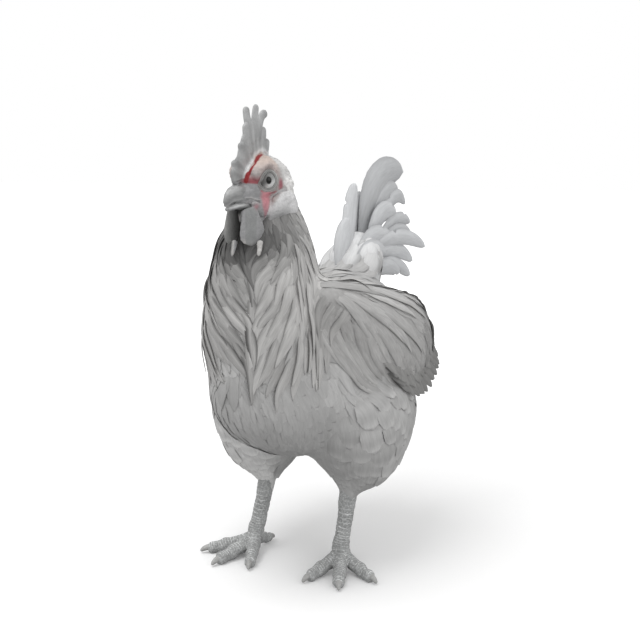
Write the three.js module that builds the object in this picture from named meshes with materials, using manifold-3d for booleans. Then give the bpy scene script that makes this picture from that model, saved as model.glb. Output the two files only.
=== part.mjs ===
// A standing chicken, life size, as a still museum model: closed faceted solids that give its outline
// out to the tips of the plumage. Millimetres, +Z up, the bird faces -Y and its left side is +X.
import * as THREE from "three";
import { mergeVertices } from "three/addons/utils/BufferGeometryUtils.js";
import Module from "manifold-3d";

const wasm = await Module();
wasm.setup();

// ---------------------------------------------------------------- driving dimensions
const GAP = 0.35; // kept between pieces that meet
const SIDES = [["left", 1], ["right", -1]];

const HEAD = new THREE.Vector3(0, -72, 362); // centre of the skull
const EYE = new THREE.Vector3(11.4, -7.5, 5.3); // from the centre of the skull
const EYE_RADIUS = 7;

const STANCE = 47.5; // half the distance between the feet
const FEET = new THREE.Vector3(-6.5, 8.5, -4.6); // the point on the floor midway between the ankles
const FOOT_TURN = { left: 0.42, right: -0.25 }; // each foot's turn about +Z, in radians
const ANKLE = 17; // height of the joint that the toes spread from
const HOCK = new THREE.Vector3(45, 17, 72); // of the left leg; the other is its mirror image
const TOES = [ // angle from straight ahead towards the outer side, length without claw, radius at the root
  { name: "inner", angle: -0.65, length: 47, radius: 6.6 },
  { name: "middle", angle: 0, length: 51, radius: 7 },
  { name: "outer", angle: 0.67, length: 46, radius: 6.5 },
  { name: "hind", angle: 2.95, length: 27, radius: 5.6 },
];
const CLAW = 11;

const TAIL_ROOT = new THREE.Vector3(0, 138, 270);

const COLOURS = {
  plumage: "#c9c7c4", wing: "#b3b0ab", tail: "#d4d5d6", comb: "#9a9a9a",
  beak: "#a9a9a8", face: "#c7bcb8", lobe: "#c9c7c8", eye: "#6d6d6a", leg: "#9c9d9c", claw: "#8f8f8e",
};
const material = (name, roughness = 0.8) =>
  new THREE.MeshStandardMaterial({ color: COLOURS[name], roughness, metalness: 0 });

// ---------------------------------------------------------------- solids
// A three.js geometry as a manifold-3d solid with its faces pointing out.
function solid(geometry) {
  const bare = new THREE.BufferGeometry();
  bare.setAttribute("position", geometry.getAttribute("position"));
  if (geometry.index) bare.setIndex(geometry.index);
  const merged = mergeVertices(bare, 1e-3);
  const triangles = [];
  const index = merged.index.array;
  for (let i = 0; i < index.length; i += 3) {
    const [a, b, c] = [index[i], index[i + 1], index[i + 2]];
    if (a !== b && b !== c && c !== a) triangles.push(a, b, c);
  }
  const make = (triVerts) => new wasm.Manifold(new wasm.Mesh({
    numProp: 3, vertProperties: merged.attributes.position.array, triVerts: new Uint32Array(triVerts),
  }));
  const made = make(triangles);
  return made.volume() > 0 ? made : make(triangles.reverse());
}

function geometryOf(made) {
  const { vertProperties, triVerts } = made.getMesh();
  const geometry = new THREE.BufferGeometry();
  geometry.setAttribute("position", new THREE.BufferAttribute(new Float32Array(vertProperties), 3));
  geometry.setIndex(new THREE.BufferAttribute(new Uint32Array(triVerts), 1));
  return geometry;
}

const largest = (made) => made.decompose().sort((a, b) => b.volume() - a.volume())[0];
const joined = (pieces) => pieces.reduce((whole, piece) => whole.add(piece));
const moved = (made, x, y, z) => made.transform(new THREE.Matrix4().makeTranslation(x, y, z).elements);

// A closed tube through stations, each { at: [x, y, z], a, up, down }: a is the half width along `side`,
// and up and down are the half heights across it. Its ends are rounded over the stretches `start` and `end`
// of its length. `fullness` below 1 squares its section, and `grow` widens it all round, for cutting a
// neighbour with a gap.
function loft(stations, {
  side = [1, 0, 0], sides = 20, rings = 14, start = 0.1, end = 0.1, fullness = 1, grow = 0,
} = {}) {
  const path = new THREE.CatmullRomCurve3(stations.map((s) => new THREE.Vector3(...s.at)));
  const sizes = new THREE.CatmullRomCurve3(
    stations.map((s) => new THREE.Vector3(s.a, s.up ?? s.a, s.down ?? s.up ?? s.a)));
  const across = new THREE.Vector3(...side).normalize();
  const geometry = new THREE.SphereGeometry(1, sides, rings);
  const { position, uv } = geometry.attributes;
  const round = (t, span) => (t < span ? Math.sqrt(Math.max(0, 1 - (1 - t / span) ** 2)) : 1);
  for (let i = 0; i < position.count; i++) {
    // rings crowd towards both ends, so that the round ends keep their shape
    const t = (1 - Math.cos(Math.PI * uv.getY(i))) / 2;
    const angle = 2 * Math.PI * uv.getX(i);
    const tangent = path.getTangent(t);
    const up = new THREE.Vector3().crossVectors(across, tangent).normalize();
    const level = new THREE.Vector3().crossVectors(tangent, up).normalize();
    const [a, high, low] = sizes.getPoint(t).toArray();
    const cap = round(t, start) * round(1 - t, end);
    const radius = (size) => (size + grow) * cap;
    const squared = (value) => Math.sign(value) * Math.abs(value) ** fullness;
    const point = path.getPoint(t)
      .addScaledVector(level, radius(a) * squared(Math.cos(angle)))
      .addScaledVector(up, radius(Math.sin(angle) > 0 ? high : low) * squared(Math.sin(angle)));
    if (grow) point.addScaledVector(tangent, grow * (t < 0.5 ? -1 : 1) * (1 - cap));
    position.setXYZ(i, ...point.toArray());
  }
  return solid(geometry);
}

// Half of all space, on the far side of a plane, as a box large enough for the bird.
function halfSpace(point, normal) {
  const size = 1200;
  const box = new THREE.BoxGeometry(size, size, size).translate(0, 0, size / 2);
  const turn = new THREE.Quaternion().setFromUnitVectors(
    new THREE.Vector3(0, 0, 1), new THREE.Vector3(...normal).normalize());
  return solid(box.applyQuaternion(turn).translate(...point));
}

const group = new THREE.Group();
function add(parent, name, made, look) {
  const mesh = new THREE.Mesh(geometryOf(made), look);
  mesh.name = name;
  parent.add(mesh);
}

// ---------------------------------------------------------------- trunk and neck
const trunkShape = (grow = 0) => loft([
  { at: [0, -124, 202], a: 15, up: 24, down: 22 },
  { at: [0, -108, 200], a: 34, up: 52, down: 46 },
  { at: [0, -76, 196], a: 51, up: 74, down: 66 },
  { at: [0, -30, 192], a: 67, up: 84, down: 84 },
  { at: [0, 16, 194], a: 77, up: 90, down: 93 },
  { at: [0, 58, 199], a: 78, up: 88, down: 86 },
  { at: [0, 96, 210], a: 70, up: 75, down: 76 },
  { at: [0, 128, 226], a: 53, up: 56, down: 56 },
  { at: [0, 152, 243], a: 27, up: 27, down: 30 },
], { sides: 18, rings: 12, start: 0.05, end: 0.1, fullness: 0.86, grow });

const neckShape = (grow = 0) => loft([
  { at: [0, -58, 370], a: 17, up: 20, down: 9 },
  { at: [0, -60, 348], a: 29, up: 36, down: 17 },
  { at: [0, -63, 324], a: 42, up: 47, down: 32 },
  { at: [0, -65, 292], a: 49.5, up: 58, down: 49 },
  { at: [0, -65, 262], a: 54, up: 62, down: 57 },
  { at: [0, -64, 232], a: 56, up: 60, down: 60 },
  { at: [0, -62, 204], a: 54, up: 54, down: 59 },
  { at: [0, -56, 178], a: 38, up: 40, down: 46 },
], { sides: 14, rings: 10, start: 0.08, end: 0.12, grow });

// ---------------------------------------------------------------- head, in its own group
const headShape = (grow = 0) => loft([
  { at: [0, -37, -4], a: 7, up: 7, down: 8 },
  { at: [0, -29, -2], a: 11, up: 14, down: 13 },
  { at: [0, -18, 0], a: 14.5, up: 20, down: 18 },
  { at: [0, -7, 2], a: 16.5, up: 23, down: 22 },
  { at: [0, 5, 3], a: 18.5, up: 24, down: 25 },
  { at: [0, 17, 2], a: 18.5, up: 22, down: 26 },
  { at: [0, 27, -1], a: 15.2, up: 17, down: 21 },
  { at: [0, 34, -4], a: 7, up: 8, down: 10 },
], { sides: 14, rings: 10, start: 0.06, end: 0.08, grow });

const eyeShape = (sign, grow = 0) => {
  const ball = new THREE.SphereGeometry(EYE_RADIUS + grow, 10, 7);
  return solid(ball.translate(sign * EYE.x, EYE.y, EYE.z));
};

const beakUpperShape = (grow = 0) => loft([
  { at: [0, -24, -5], a: 9.5, up: 10, down: 7 },
  { at: [0, -34, -4.5], a: 9, up: 9.5, down: 7 },
  { at: [0, -43, -6], a: 7.6, up: 8.5, down: 5.5 },
  { at: [0, -50, -10], a: 5, up: 5.6, down: 4 },
  { at: [0, -54.5, -15.5], a: 1.8, up: 2.2, down: 2 },
], { sides: 12, rings: 8, start: 0.05, end: 0.06, grow });

const beakLowerShape = (grow = 0) => loft([
  { at: [0, -22, -16], a: 8.6, up: 6, down: 5 },
  { at: [0, -34, -15.5], a: 7.8, up: 5, down: 4.4 },
  { at: [0, -44, -16], a: 6, up: 4, down: 3.6 },
  { at: [0, -51, -17.5], a: 3, up: 2, down: 2 },
], { sides: 10, rings: 6, start: 0.05, end: 0.1, grow });

// One upright comb: a blade along the crown and a point for each tip.
const COMB_TIPS = [[0, -43, 21], [0, -34, 35], [0, -28, 53], [0, -22, 67], [-1, -1, 71],
  [-3, 18, 67], [-4, 23, 53], [-5, 29, 42]];
const combShape = () => {
  const blade = loft([
    { at: [0, -42, 4], a: 4, up: 9, down: 7 },
    { at: [0, -32, 15], a: 4, up: 16, down: 10 },
    { at: [0, -16, 28], a: 3.6, up: 23, down: 12 },
    { at: [-1, 2, 32], a: 3.4, up: 20, down: 12 },
    { at: [-3, 18, 30], a: 3, up: 12, down: 9 },
    { at: [-4, 25, 27], a: 2.2, up: 6, down: 4 },
  ], { sides: 10, rings: 8, start: 0.05, end: 0.08 });
  const crown = new THREE.Vector3(-1, -8, 6); // the points fan out from here
  const points = COMB_TIPS.map((tip) => {
    const end = new THREE.Vector3(...tip);
    const at = (share) => crown.clone().lerp(end, share).toArray();
    return loft([
      { at: at(0.45), a: 3.3, up: 6 },
      { at: at(0.75), a: 2.9, up: 4.2 },
      { at: at(1), a: 2.3, up: 3 },
    ], { sides: 6, rings: 4, start: 0.1, end: 0.12 });
  });
  return joined([blade, ...points]);
};

const wattleShape = (sign) => loft([
  { at: [sign * 7.4, -31, -19], a: 2.4, up: 9, down: 8 },
  { at: [sign * 9, -29, -28], a: 2.6, up: 12, down: 11 },
  { at: [sign * 9.8, -27.5, -38], a: 2.7, up: 12.5, down: 12 },
  { at: [sign * 9.8, -26, -47], a: 2.4, up: 9, down: 8.5 },
], { side: [1, sign * -0.45, 0], sides: 10, rings: 8, start: 0.04, end: 0.16 });

const lobeShape = (sign, grow = 0) => loft([
  { at: [sign * 15, 11, 2], a: 4, up: 8 },
  { at: [sign * 17.2, 11, -9], a: 5, up: 14 },
  { at: [sign * 18, 11, -20], a: 4.6, up: 14 },
  { at: [sign * 16.6, 10, -29], a: 3, up: 7 },
], { sides: 10, rings: 8, start: 0.1, end: 0.12, grow });

const inHead = (made) => moved(made, ...HEAD.toArray());

// ---------------------------------------------------------------- wings
const wingShape = (sign, grow = 0) => loft([
  { at: [sign * 46, -62, 268], a: 14, up: 12, down: 12 },
  { at: [sign * 55, -42, 264], a: 19, up: 20, down: 20 },
  { at: [sign * 62, -10, 250], a: 24, up: 30, down: 30 },
  { at: [sign * 68, 28, 231], a: 27, up: 41, down: 46 },
  { at: [sign * 72, 66, 213], a: 25, up: 50, down: 52 },
  { at: [sign * 72, 104, 200], a: 20, up: 51, down: 47 },
  { at: [sign * 71, 140, 192], a: 12, up: 36, down: 30 },
  { at: [sign * 70, 160, 188], a: 5, up: 18, down: 16 },
], { sides: 14, rings: 10, start: 0.06, end: 0.06, grow });

// The flight feathers' ends, fanned along the lower rear edge of the folded wing.
const FLIGHT_FEATHERS = 6;
const flightShape = (sign, grow = 0) => joined(Array.from({ length: FLIGHT_FEATHERS }, (_, i) => {
  const share = i / (FLIGHT_FEATHERS - 1);
  const root = [sign * (83 - 4 * share), 38 + 52 * share, 186 + 8 * share];
  const reach = 78 + 14 * share;
  const drop = -0.5 + 0.36 * share;
  const end = [sign * (84 - 10 * share), root[1] + reach * Math.cos(drop), root[2] + reach * Math.sin(drop)];
  const middle = root.map((value, axis) => (value + end[axis]) / 2 + (axis === 0 ? sign * 3 : 0));
  return loft([
    { at: root, a: 2.2, up: 9 }, { at: middle, a: 2, up: 10 }, { at: end, a: 1.2, up: 6 },
  ], { sides: 6, rings: 4, start: 0.1, end: 0.14, grow });
}));

// ---------------------------------------------------------------- tail
// The main feathers of the left side of the tail, from the foremost upright one down to the lowest. root is
// from TAIL_ROOT, rise the slope at the root, bend how far it leans back by the tip, splay its turn away from
// the midline, and face how far its flat side turns to the front.
const TAIL_FEATHERS = [
  { root: [7, -32, 2], rise: 1.5, bend: 0.1, splay: 0.03, length: 86, width: 25, face: 0.95 },
  { root: [14, -18, -2], rise: 1.2, bend: 0.35, splay: 0.28, length: 78, width: 28, face: 0.5 },
  { root: [4, 1, 6], rise: 1.47, bend: 0.64, splay: 0.05, length: 140, width: 40, face: 0 },
  { root: [6, 0, 2], rise: 1.16, bend: 0.3, splay: 0.14, length: 104, width: 30, face: 0 },
  { root: [8, 2, -2], rise: 0.8, bend: 0.24, splay: 0.16, length: 100, width: 27, face: 0 },
  { root: [12, 0, -3], rise: 0.46, bend: 0.22, splay: 0.26, length: 99, width: 23, face: 0.15 },
  { root: [10, 2, -11], rise: 0.13, bend: 0.1, splay: 0.16, length: 73, width: 21, face: 0 },
  { root: [20, -10, -2], rise: 0.26, bend: 0.4, splay: 0.6, length: 52, width: 24, face: 0.3 },
];
function tailFeather({ root, rise, bend, splay, length, width, face }, sign) {
  const from = TAIL_ROOT.clone().add(new THREE.Vector3(sign * root[0], root[1], root[2]));
  const turn = sign * splay;
  const at = (t) => {
    const slope = rise - bend * t;
    const way = new THREE.Vector3(Math.sin(turn), Math.cos(slope) * Math.cos(turn), Math.sin(slope));
    return from.clone().addScaledVector(way, length * t).toArray();
  };
  return loft([
    { at: at(0), a: 2, up: 0.28 * width }, { at: at(0.35), a: 2, up: 0.42 * width },
    { at: at(0.75), a: 1.7, up: 0.5 * width }, { at: at(1), a: 1.2, up: 0.34 * width },
  ], { side: [Math.cos(face), -sign * Math.sin(face), 0], sides: 6, rings: 5, start: 0.08, end: 0.12 });
}
const tailBase = () => loft([
  { at: [0, 88, 262], a: 36, up: 20, down: 20 },
  { at: [0, 112, 268], a: 38, up: 28, down: 24 },
  { at: [0, 136, 282], a: 29, up: 32, down: 26 },
  { at: [0, 152, 302], a: 16, up: 22, down: 18 },
], { sides: 12, rings: 7, start: 0.1, end: 0.2 });

// ---------------------------------------------------------------- legs
const thighShape = (sign, grow = 0) => loft([
  { at: [sign * 42, 14, 184], a: 40, up: 92, down: 54 },
  { at: [sign * 47, 14, 152], a: 50, up: 115, down: 54 },
  { at: [sign * 49, 14, 124], a: 50, up: 119, down: 44 },
  { at: [sign * 51, 16, 100], a: 41, up: 101, down: 28 },
  { at: [sign * 49, 17, 85], a: 31, up: 71, down: 18 },
  { at: [sign * 46.5, 17, 74], a: 15.5, up: 26, down: 11.5 },
  { at: [sign * 45, 17, 65], a: 9, up: 9.5, down: 9 },
], { sides: 14, rings: 9, start: 0.1, end: 0.04, grow });

// Each leg's pieces below stand in the foot's own group, whose origin is on the floor under the ankle.
const shankShape = (hock, grow = 0) => {
  const at = (share, z) => [hock.x * share, hock.y * share, z];
  return loft([
    { at: at(0, ANKLE - 6), a: 8.4, up: 7.6, down: 8 },
    { at: at(0.05, ANKLE + 5), a: 8, up: 7.4, down: 7.4 },
    { at: at(0.3, 34), a: 6.6, up: 6.8, down: 6.4 },
    { at: at(0.7, 56), a: 6.4, up: 7, down: 6.4 },
    { at: at(1, hock.z), a: 7.6, up: 8, down: 7.6 },
    { at: at(1.05, hock.z + 9), a: 6.5, up: 7, down: 6.5 },
  ], { sides: 10, rings: 8, start: 0.08, end: 0.1, grow });
};

function toeLine(toe, sign) {
  const turn = sign * toe.angle;
  const ahead = new THREE.Vector3(Math.sin(turn), -Math.cos(turn), 0);
  const at = (distance, z) => [ahead.x * distance, ahead.y * distance, z];
  return { ahead, at, side: [-ahead.y, ahead.x, 0] };
}
function toeShape(toe, sign, grow = 0) {
  const { at, side } = toeLine(toe, sign);
  const r = toe.radius;
  return loft([
    { at: at(0, ANKLE - 3), a: r, up: r },
    { at: at(toe.length * 0.3, ANKLE - 7), a: r * 0.94, up: r * 0.95 },
    { at: at(toe.length * 0.62, 6.6), a: r * 0.86, up: r * 0.86, down: r * 1.1 },
    { at: at(toe.length * 0.88, 4.9), a: r * 0.78, up: r * 0.78, down: r * 0.95 },
    { at: at(toe.length, 4.2), a: r * 0.66, up: r * 0.66, down: r * 0.8 },
  ], { side, sides: 8, rings: 5, start: 0.08, end: 0.1, grow });
}
function clawShape(toe, sign) {
  const { at, side } = toeLine(toe, sign);
  return loft([
    { at: at(toe.length - 4, 4.8), a: 2.5, up: 2.5 },
    { at: at(toe.length + CLAW * 0.45, 4.4), a: 1.9, up: 2 },
    { at: at(toe.length + CLAW, 1.5), a: 0.7, up: 0.7 },
  ], { side, sides: 6, rings: 4, start: 0.1, end: 0.1 });
}

// ---------------------------------------------------------------- the bird
const floor = halfSpace([0, 0, 0], [0, 0, -1]);

let neck = neckShape().subtract(trunkShape(GAP)).subtract(inHead(headShape(GAP)));
for (const [, sign] of SIDES) neck = neck.subtract(inHead(lobeShape(sign, GAP)));

const headGroup = new THREE.Group();
headGroup.position.copy(HEAD);
group.add(headGroup);
const beakUpper = beakUpperShape();
const beakLower = largest(beakLowerShape().subtract(beakUpperShape(GAP)));
let head = headShape().subtract(beakUpperShape(GAP)).subtract(beakLowerShape(GAP));
for (const [, sign] of SIDES) head = head.subtract(eyeShape(sign, GAP)).subtract(lobeShape(sign, GAP));
head = largest(head);
add(headGroup, "head", head, material("face"));
add(headGroup, "beak_upper", beakUpper, material("beak", 0.5));
add(headGroup, "beak_lower", beakLower, material("beak", 0.5));
const comb = largest(combShape().subtract(headShape(GAP)).subtract(beakUpperShape(GAP)));
add(headGroup, "comb", comb, material("comb", 0.6));
const neckInHead = moved(neckShape(GAP), ...HEAD.clone().negate().toArray());
for (const [name, sign] of SIDES) {
  add(headGroup, `eye_${name}`, eyeShape(sign), material("eye", 0.15));
  add(headGroup, `ear_lobe_${name}`, lobeShape(sign), material("lobe"));
  const wattle = wattleShape(sign).subtract(beakLowerShape(GAP)).subtract(beakUpperShape(GAP));
  add(headGroup, `wattle_${name}`,
    largest(wattle.subtract(headShape(GAP)).subtract(neckInHead)), material("comb", 0.6));
}

add(group, "neck", largest(neck), material("plumage"));

for (const [name, sign] of SIDES) {
  const wing = largest(wingShape(sign).subtract(trunkShape(GAP)).subtract(neckShape(GAP)));
  const flight = largest(flightShape(sign).subtract(wingShape(sign, GAP)).subtract(trunkShape(GAP)));
  add(group, `wing_${name}`, wing, material("wing"));
  add(group, `flight_feathers_${name}`, flight, material("wing"));
}
for (const [name, sign] of SIDES) {
  const half = halfSpace([sign * GAP / 2, 0, 0], [sign, 0, 0]);
  const fan = joined(TAIL_FEATHERS.map((feather) => tailFeather(feather, sign)));
  const made = joined([tailBase(), fan]).intersect(half).subtract(trunkShape(GAP));
  add(group, `tail_${name}`, largest(made), material("tail"));
}
add(group, "trunk", trunkShape(), material("plumage"));

for (const [name, sign] of SIDES) {
  const leg = new THREE.Group();
  leg.position.set(sign * STANCE, 0, 0).add(FEET);
  leg.rotation.z = FOOT_TURN[name];
  group.add(leg);
  leg.updateMatrixWorld(true);
  const inLeg = (made) => made.transform(leg.matrixWorld.elements);
  const hock = leg.worldToLocal(new THREE.Vector3(sign * HOCK.x, HOCK.y, HOCK.z));
  const around = [trunkShape(GAP), neckShape(GAP), wingShape(sign, GAP), flightShape(sign, GAP),
    inLeg(shankShape(hock, GAP))];
  const thigh = around.reduce((made, other) => made.subtract(other), thighShape(sign));
  add(group, `thigh_${name}`, largest(thigh), material("plumage"));
  add(leg, `shank_${name}`, shankShape(hock), material("leg"));
  TOES.forEach((toe, i) => {
    let made = toeShape(toe, sign).subtract(shankShape(hock, GAP)).subtract(floor);
    for (const other of TOES.slice(0, i)) made = made.subtract(toeShape(other, sign, GAP));
    add(leg, `toe_${toe.name}_${name}`, largest(made), material("leg"));
    const claw = clawShape(toe, sign).subtract(toeShape(toe, sign, GAP));
    add(leg, `claw_${toe.name}_${name}`, largest(claw), material("claw", 0.4));
  });
}

// The origin goes to the middle of the bird's footprint, on the floor.
const box = new THREE.Box3().setFromObject(group, true);
const centre = box.getCenter(new THREE.Vector3());
for (const child of group.children) child.position.sub(new THREE.Vector3(centre.x, centre.y, box.min.z));

export default group;
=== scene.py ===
"""The looks of a standing chicken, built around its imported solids.

One skin stands for the fleshy solids: it lies inside them by the coat's depth. Solid vanes grow from it,
tract by tract, along the lie of the plumage. All modelling is in millimetres in the bird's own frame: it
faces -Y, its left is +X, and PLACE carries that frame to the part's.
"""

import itertools
import math
from collections import defaultdict

import bpy
import numpy as np
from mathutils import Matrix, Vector
from mathutils.bvhtree import BVHTree


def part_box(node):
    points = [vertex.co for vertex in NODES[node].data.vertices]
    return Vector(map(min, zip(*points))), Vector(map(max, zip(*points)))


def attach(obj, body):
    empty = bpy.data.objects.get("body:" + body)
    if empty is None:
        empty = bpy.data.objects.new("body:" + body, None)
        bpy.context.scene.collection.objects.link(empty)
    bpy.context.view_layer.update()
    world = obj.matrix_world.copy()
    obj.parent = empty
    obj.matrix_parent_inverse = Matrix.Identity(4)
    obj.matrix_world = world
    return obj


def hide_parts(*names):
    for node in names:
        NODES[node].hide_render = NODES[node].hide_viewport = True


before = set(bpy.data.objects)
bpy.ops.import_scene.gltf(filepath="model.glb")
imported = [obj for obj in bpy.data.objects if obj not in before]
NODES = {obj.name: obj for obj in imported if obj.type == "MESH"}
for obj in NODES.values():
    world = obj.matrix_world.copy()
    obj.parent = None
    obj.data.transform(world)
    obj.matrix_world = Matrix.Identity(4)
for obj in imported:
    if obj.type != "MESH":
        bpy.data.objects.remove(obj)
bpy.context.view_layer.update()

MM = 0.001
SIDES = (("left", 1), ("right", -1))
HEAD = np.array([0.0, -72.0, 362.0])  # centre of the skull
EYE = np.array([11.4, -7.5, 5.3])  # from the centre of the skull


def middle(node_name):
    """The centre of a CAD node's box, in millimetres of the part's frame."""
    low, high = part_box(node_name)
    return (np.array(low) + np.array(high)) / 2 / MM


# The eyes carry the bird's frame to the part's.
PLACE = (middle("eye_left") + middle("eye_right")) / 2 - (HEAD + EYE * (0, 1, 1))


# ---------------------------------------------------------------- arithmetic
def unit(v):
    return v / np.maximum(np.linalg.norm(v, axis=-1, keepdims=True), 1e-9)


def step(low, high, x):
    """Rises smoothly from 0 at low to 1 at high; falls where high is below low."""
    t = np.clip((x - low) / (high - low), 0, 1)
    return t * t * (3 - 2 * t)


def hump(x, centre, width):
    return np.exp(-(((x - centre) / width) ** 2))


def mix(a, b, share):
    """Between numbers, or between colours, which have 3 as their last dimension."""
    a, b, share = np.asarray(a), np.asarray(b), np.asarray(share)
    if (a.shape[-1:] == (3,) or b.shape[-1:] == (3,)) and share.shape[-1:] != (1,):
        share = share[..., None]
    return a * (1 - share) + b * share


def layered(colour, *layers):
    """A colour with others laid over it in turn, each given with its share."""
    for over, share in layers:
        colour = mix(colour, over, share)
    return colour


def waves(p, size, seed):
    """A smooth random field over points, about -1 to 1, with features of the given size."""
    rng = np.random.default_rng(seed)
    total = np.zeros(p.shape[:-1])
    for _ in range(14):
        way = unit(rng.normal(size=3)) * (2 * math.pi / size) * rng.uniform(0.45, 1.1)
        total += np.sin(p @ way + rng.uniform(0, 2 * math.pi))
    return total / 3.6


def linear(value):
    """Linear light from an sRGB value, or list of them, of 0 to 255."""
    v = np.asarray(value, float) / 255
    return np.where(v <= 0.04045, v / 12.92, ((v + 0.055) / 1.055) ** 2.4)


LAMPS = 1.18  # how much lighter an albedo has to be to show as its colour in this light


def tone(*colour):
    """The albedo that shows as an sRGB colour."""
    return linear(colour) * LAMPS


def shown(light, tint, gain=LAMPS):
    """The albedos that show as greys of 0 to 255, tinted."""
    return linear(np.clip(light, 0, 250))[..., None] * gain * np.array(tint)


def tinted(light, tint):
    return light[:, None] * np.array(tint)


def own_side(q):
    """What carries a place or direction on the bird's left to each point's own side."""
    side = np.ones_like(q)
    side[:, 0] = np.where(q[:, 0] < 0, -1.0, 1.0)
    return side


def near_side(q):
    """Places folded onto the bird's left."""
    return q * own_side(q)


def spline(points, t):
    """Points on a smooth curve through the given ones, for t from 0 to 1."""
    ends = np.vstack([2 * points[0] - points[1], points, 2 * points[-1] - points[-2]])
    at = np.clip(t, 0, 1) * (len(points) - 1)
    i = np.minimum(at.astype(int), len(points) - 2)
    f = (at - i)[:, None]
    a, b, c, d = (ends[i + k] for k in range(4))
    return 0.5 * (2 * b + (c - a) * f + (2 * a - 5 * b + 4 * c - d) * f**2 + (3 * b - a - 3 * c + d) * f**3)


def from_line(q, line):
    """The distance from each place to a line through points, and how far along it, 0 to 1."""
    line = np.asarray(line, float)
    best = np.full(len(q), 1e9)
    where = np.zeros(len(q))
    for i, (a, b) in enumerate(zip(line[:-1], line[1:])):
        t = np.clip((q - a) @ (b - a) / max((b - a) @ (b - a), 1e-9), 0, 1)
        gap = np.linalg.norm(q - a - t[:, None] * (b - a), axis=1)
        closer = gap < best
        best = np.where(closer, gap, best)
        where = np.where(closer, (i + t) / (len(line) - 1), where)
    return best, where


def gap_to(q, line):
    return from_line(q, line)[0]


# ---------------------------------------------------------------- meshes
def loft(stations, side=(1, 0, 0), sides=36, rings=40, start=0.1, end=0.1, fullness=1.0):
    """A closed tube through stations (x, y, z, half width along side, half height up, half height down)."""
    stations = np.array(stations, float)
    t = (1 - np.cos(np.pi * np.linspace(0.004, 0.996, rings))) / 2
    path, ahead, behind = (spline(stations[:, :3], t + shift) for shift in (0, 0.005, -0.005))
    size = spline(stations[:, 3:], t)
    ahead = unit(ahead - behind)
    up = unit(np.cross(unit(np.array(side, float)), ahead))
    level = np.cross(ahead, up)
    cap = np.ones_like(t)
    for span, at in ((start, t), (end, 1 - t)):
        cap *= np.sqrt(np.clip(1 - np.clip(1 - at / span, 0, 1) ** 2, 0, 1))
    angle = np.linspace(0, 2 * np.pi, sides, endpoint=False)
    c, s = (np.sign(f) * np.abs(f) ** fullness for f in (np.cos(angle), np.sin(angle)))
    high = np.where(s > 0, size[:, 1:2], size[:, 2:3])
    ring = (path[:, None] + (cap[:, None] * size[:, :1] * c)[..., None] * level[:, None]
            + (cap[:, None] * high * s)[..., None] * up[:, None])
    first, last = rings * sides, rings * sides + 1
    faces = []
    for j in range(sides):
        k = (j + 1) % sides
        faces.append((first, j, k))
        faces.append((last, (rings - 1) * sides + k, (rings - 1) * sides + j))
        faces += [(r * sides + j, (r + 1) * sides + j, (r + 1) * sides + k, r * sides + k)
                  for r in range(rings - 1)]
    return np.vstack([ring.reshape(-1, 3), path[:1], path[-1:]]), faces


def joined(shapes):
    verts, faces, count = [], [], 0
    for v, f in shapes:
        verts.append(v)
        faces += [tuple(i + count for i in face) for face in f]
        count += len(v)
    return np.vstack(verts), faces


def new_object(name, verts, loops, starts):
    """A mesh object from points in the bird's frame and its faces' corners, written as flat arrays."""
    mesh = bpy.data.meshes.new(name)
    mesh.vertices.add(len(verts))
    mesh.vertices.foreach_set("co", ((verts + PLACE) * MM).astype(np.float32).ravel())
    mesh.loops.add(len(loops))
    mesh.loops.foreach_set("vertex_index", loops.astype(np.int32))
    mesh.polygons.add(len(starts))
    mesh.polygons.foreach_set("loop_start", starts.astype(np.int32))
    mesh.update(calc_edges=True)
    mesh.shade_smooth()
    obj = bpy.data.objects.new(name, mesh)
    bpy.context.scene.collection.objects.link(obj)
    return obj


def object_of(name, verts, faces):
    loops = np.array([i for face in faces for i in face])
    starts = np.cumsum([0] + [len(face) for face in faces[:-1]])
    return new_object(name, verts, loops, starts)


def fused(shapes, voxel, smoothing):
    """One closed surface around overlapping closed shapes: points in the bird's frame and quads."""
    obj = object_of("draft", *joined(shapes))
    remesh = obj.modifiers.new("fuse", "REMESH")
    remesh.mode = "VOXEL"
    remesh.voxel_size = voxel * MM
    smooth = obj.modifiers.new("soften", "SMOOTH")
    smooth.factor = 0.5
    smooth.iterations = smoothing
    mesh = bpy.data.meshes.new_from_object(obj.evaluated_get(bpy.context.evaluated_depsgraph_get()))
    verts = np.empty(len(mesh.vertices) * 3, np.float32)
    mesh.vertices.foreach_get("co", verts)
    loops = np.empty(len(mesh.loops), np.int32)
    mesh.loops.foreach_get("vertex_index", loops)
    bpy.data.meshes.remove(mesh)
    bpy.data.objects.remove(obj)
    return verts.reshape(-1, 3).astype(float) / MM - PLACE, loops.reshape(-1, 4)


def node_shape(name, grow):
    """A CAD node's surface, moved out along its normals."""
    mesh = NODES[name].data
    verts = np.array([v.co for v in mesh.vertices]) / MM - PLACE
    normals = np.array([v.normal for v in mesh.vertices])
    return verts + normals * grow, [tuple(p.vertices) for p in mesh.polygons]


def normals_of(verts, quads):
    """Smooth normals at the points, and each face's centre and area."""
    a, b, c, d = (verts[quads[:, i]] for i in range(4))
    cross = np.cross(c - a, d - b) / 2
    normals = np.zeros_like(verts)
    for i in range(4):
        np.add.at(normals, quads[:, i], cross)
    return unit(normals), (a + b + c + d) / 4, np.linalg.norm(cross, axis=1)


def averaged(values, quads, rounds):
    """Per-point values, blurred over the surface."""
    count = np.zeros(len(values))
    for i in range(4):
        np.add.at(count, quads[:, i], 1)
    for _ in range(rounds):
        at_face = values[quads].mean(axis=1)
        total = np.zeros_like(values)
        for i in range(4):
            np.add.at(total, quads[:, i], at_face)
        values = total / count.reshape(-1, *[1] * (values.ndim - 1))
    return values


# ---------------------------------------------------------------- the stage
WHITE = (1, 1, 1, 1)
CAMERA_PLACE = np.array([447.3, -833.0, 385.0])  # in the bird's frame
CAMERA_TURN = (81, 0, 27)
CAMERA_ANGLE = 35
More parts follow.
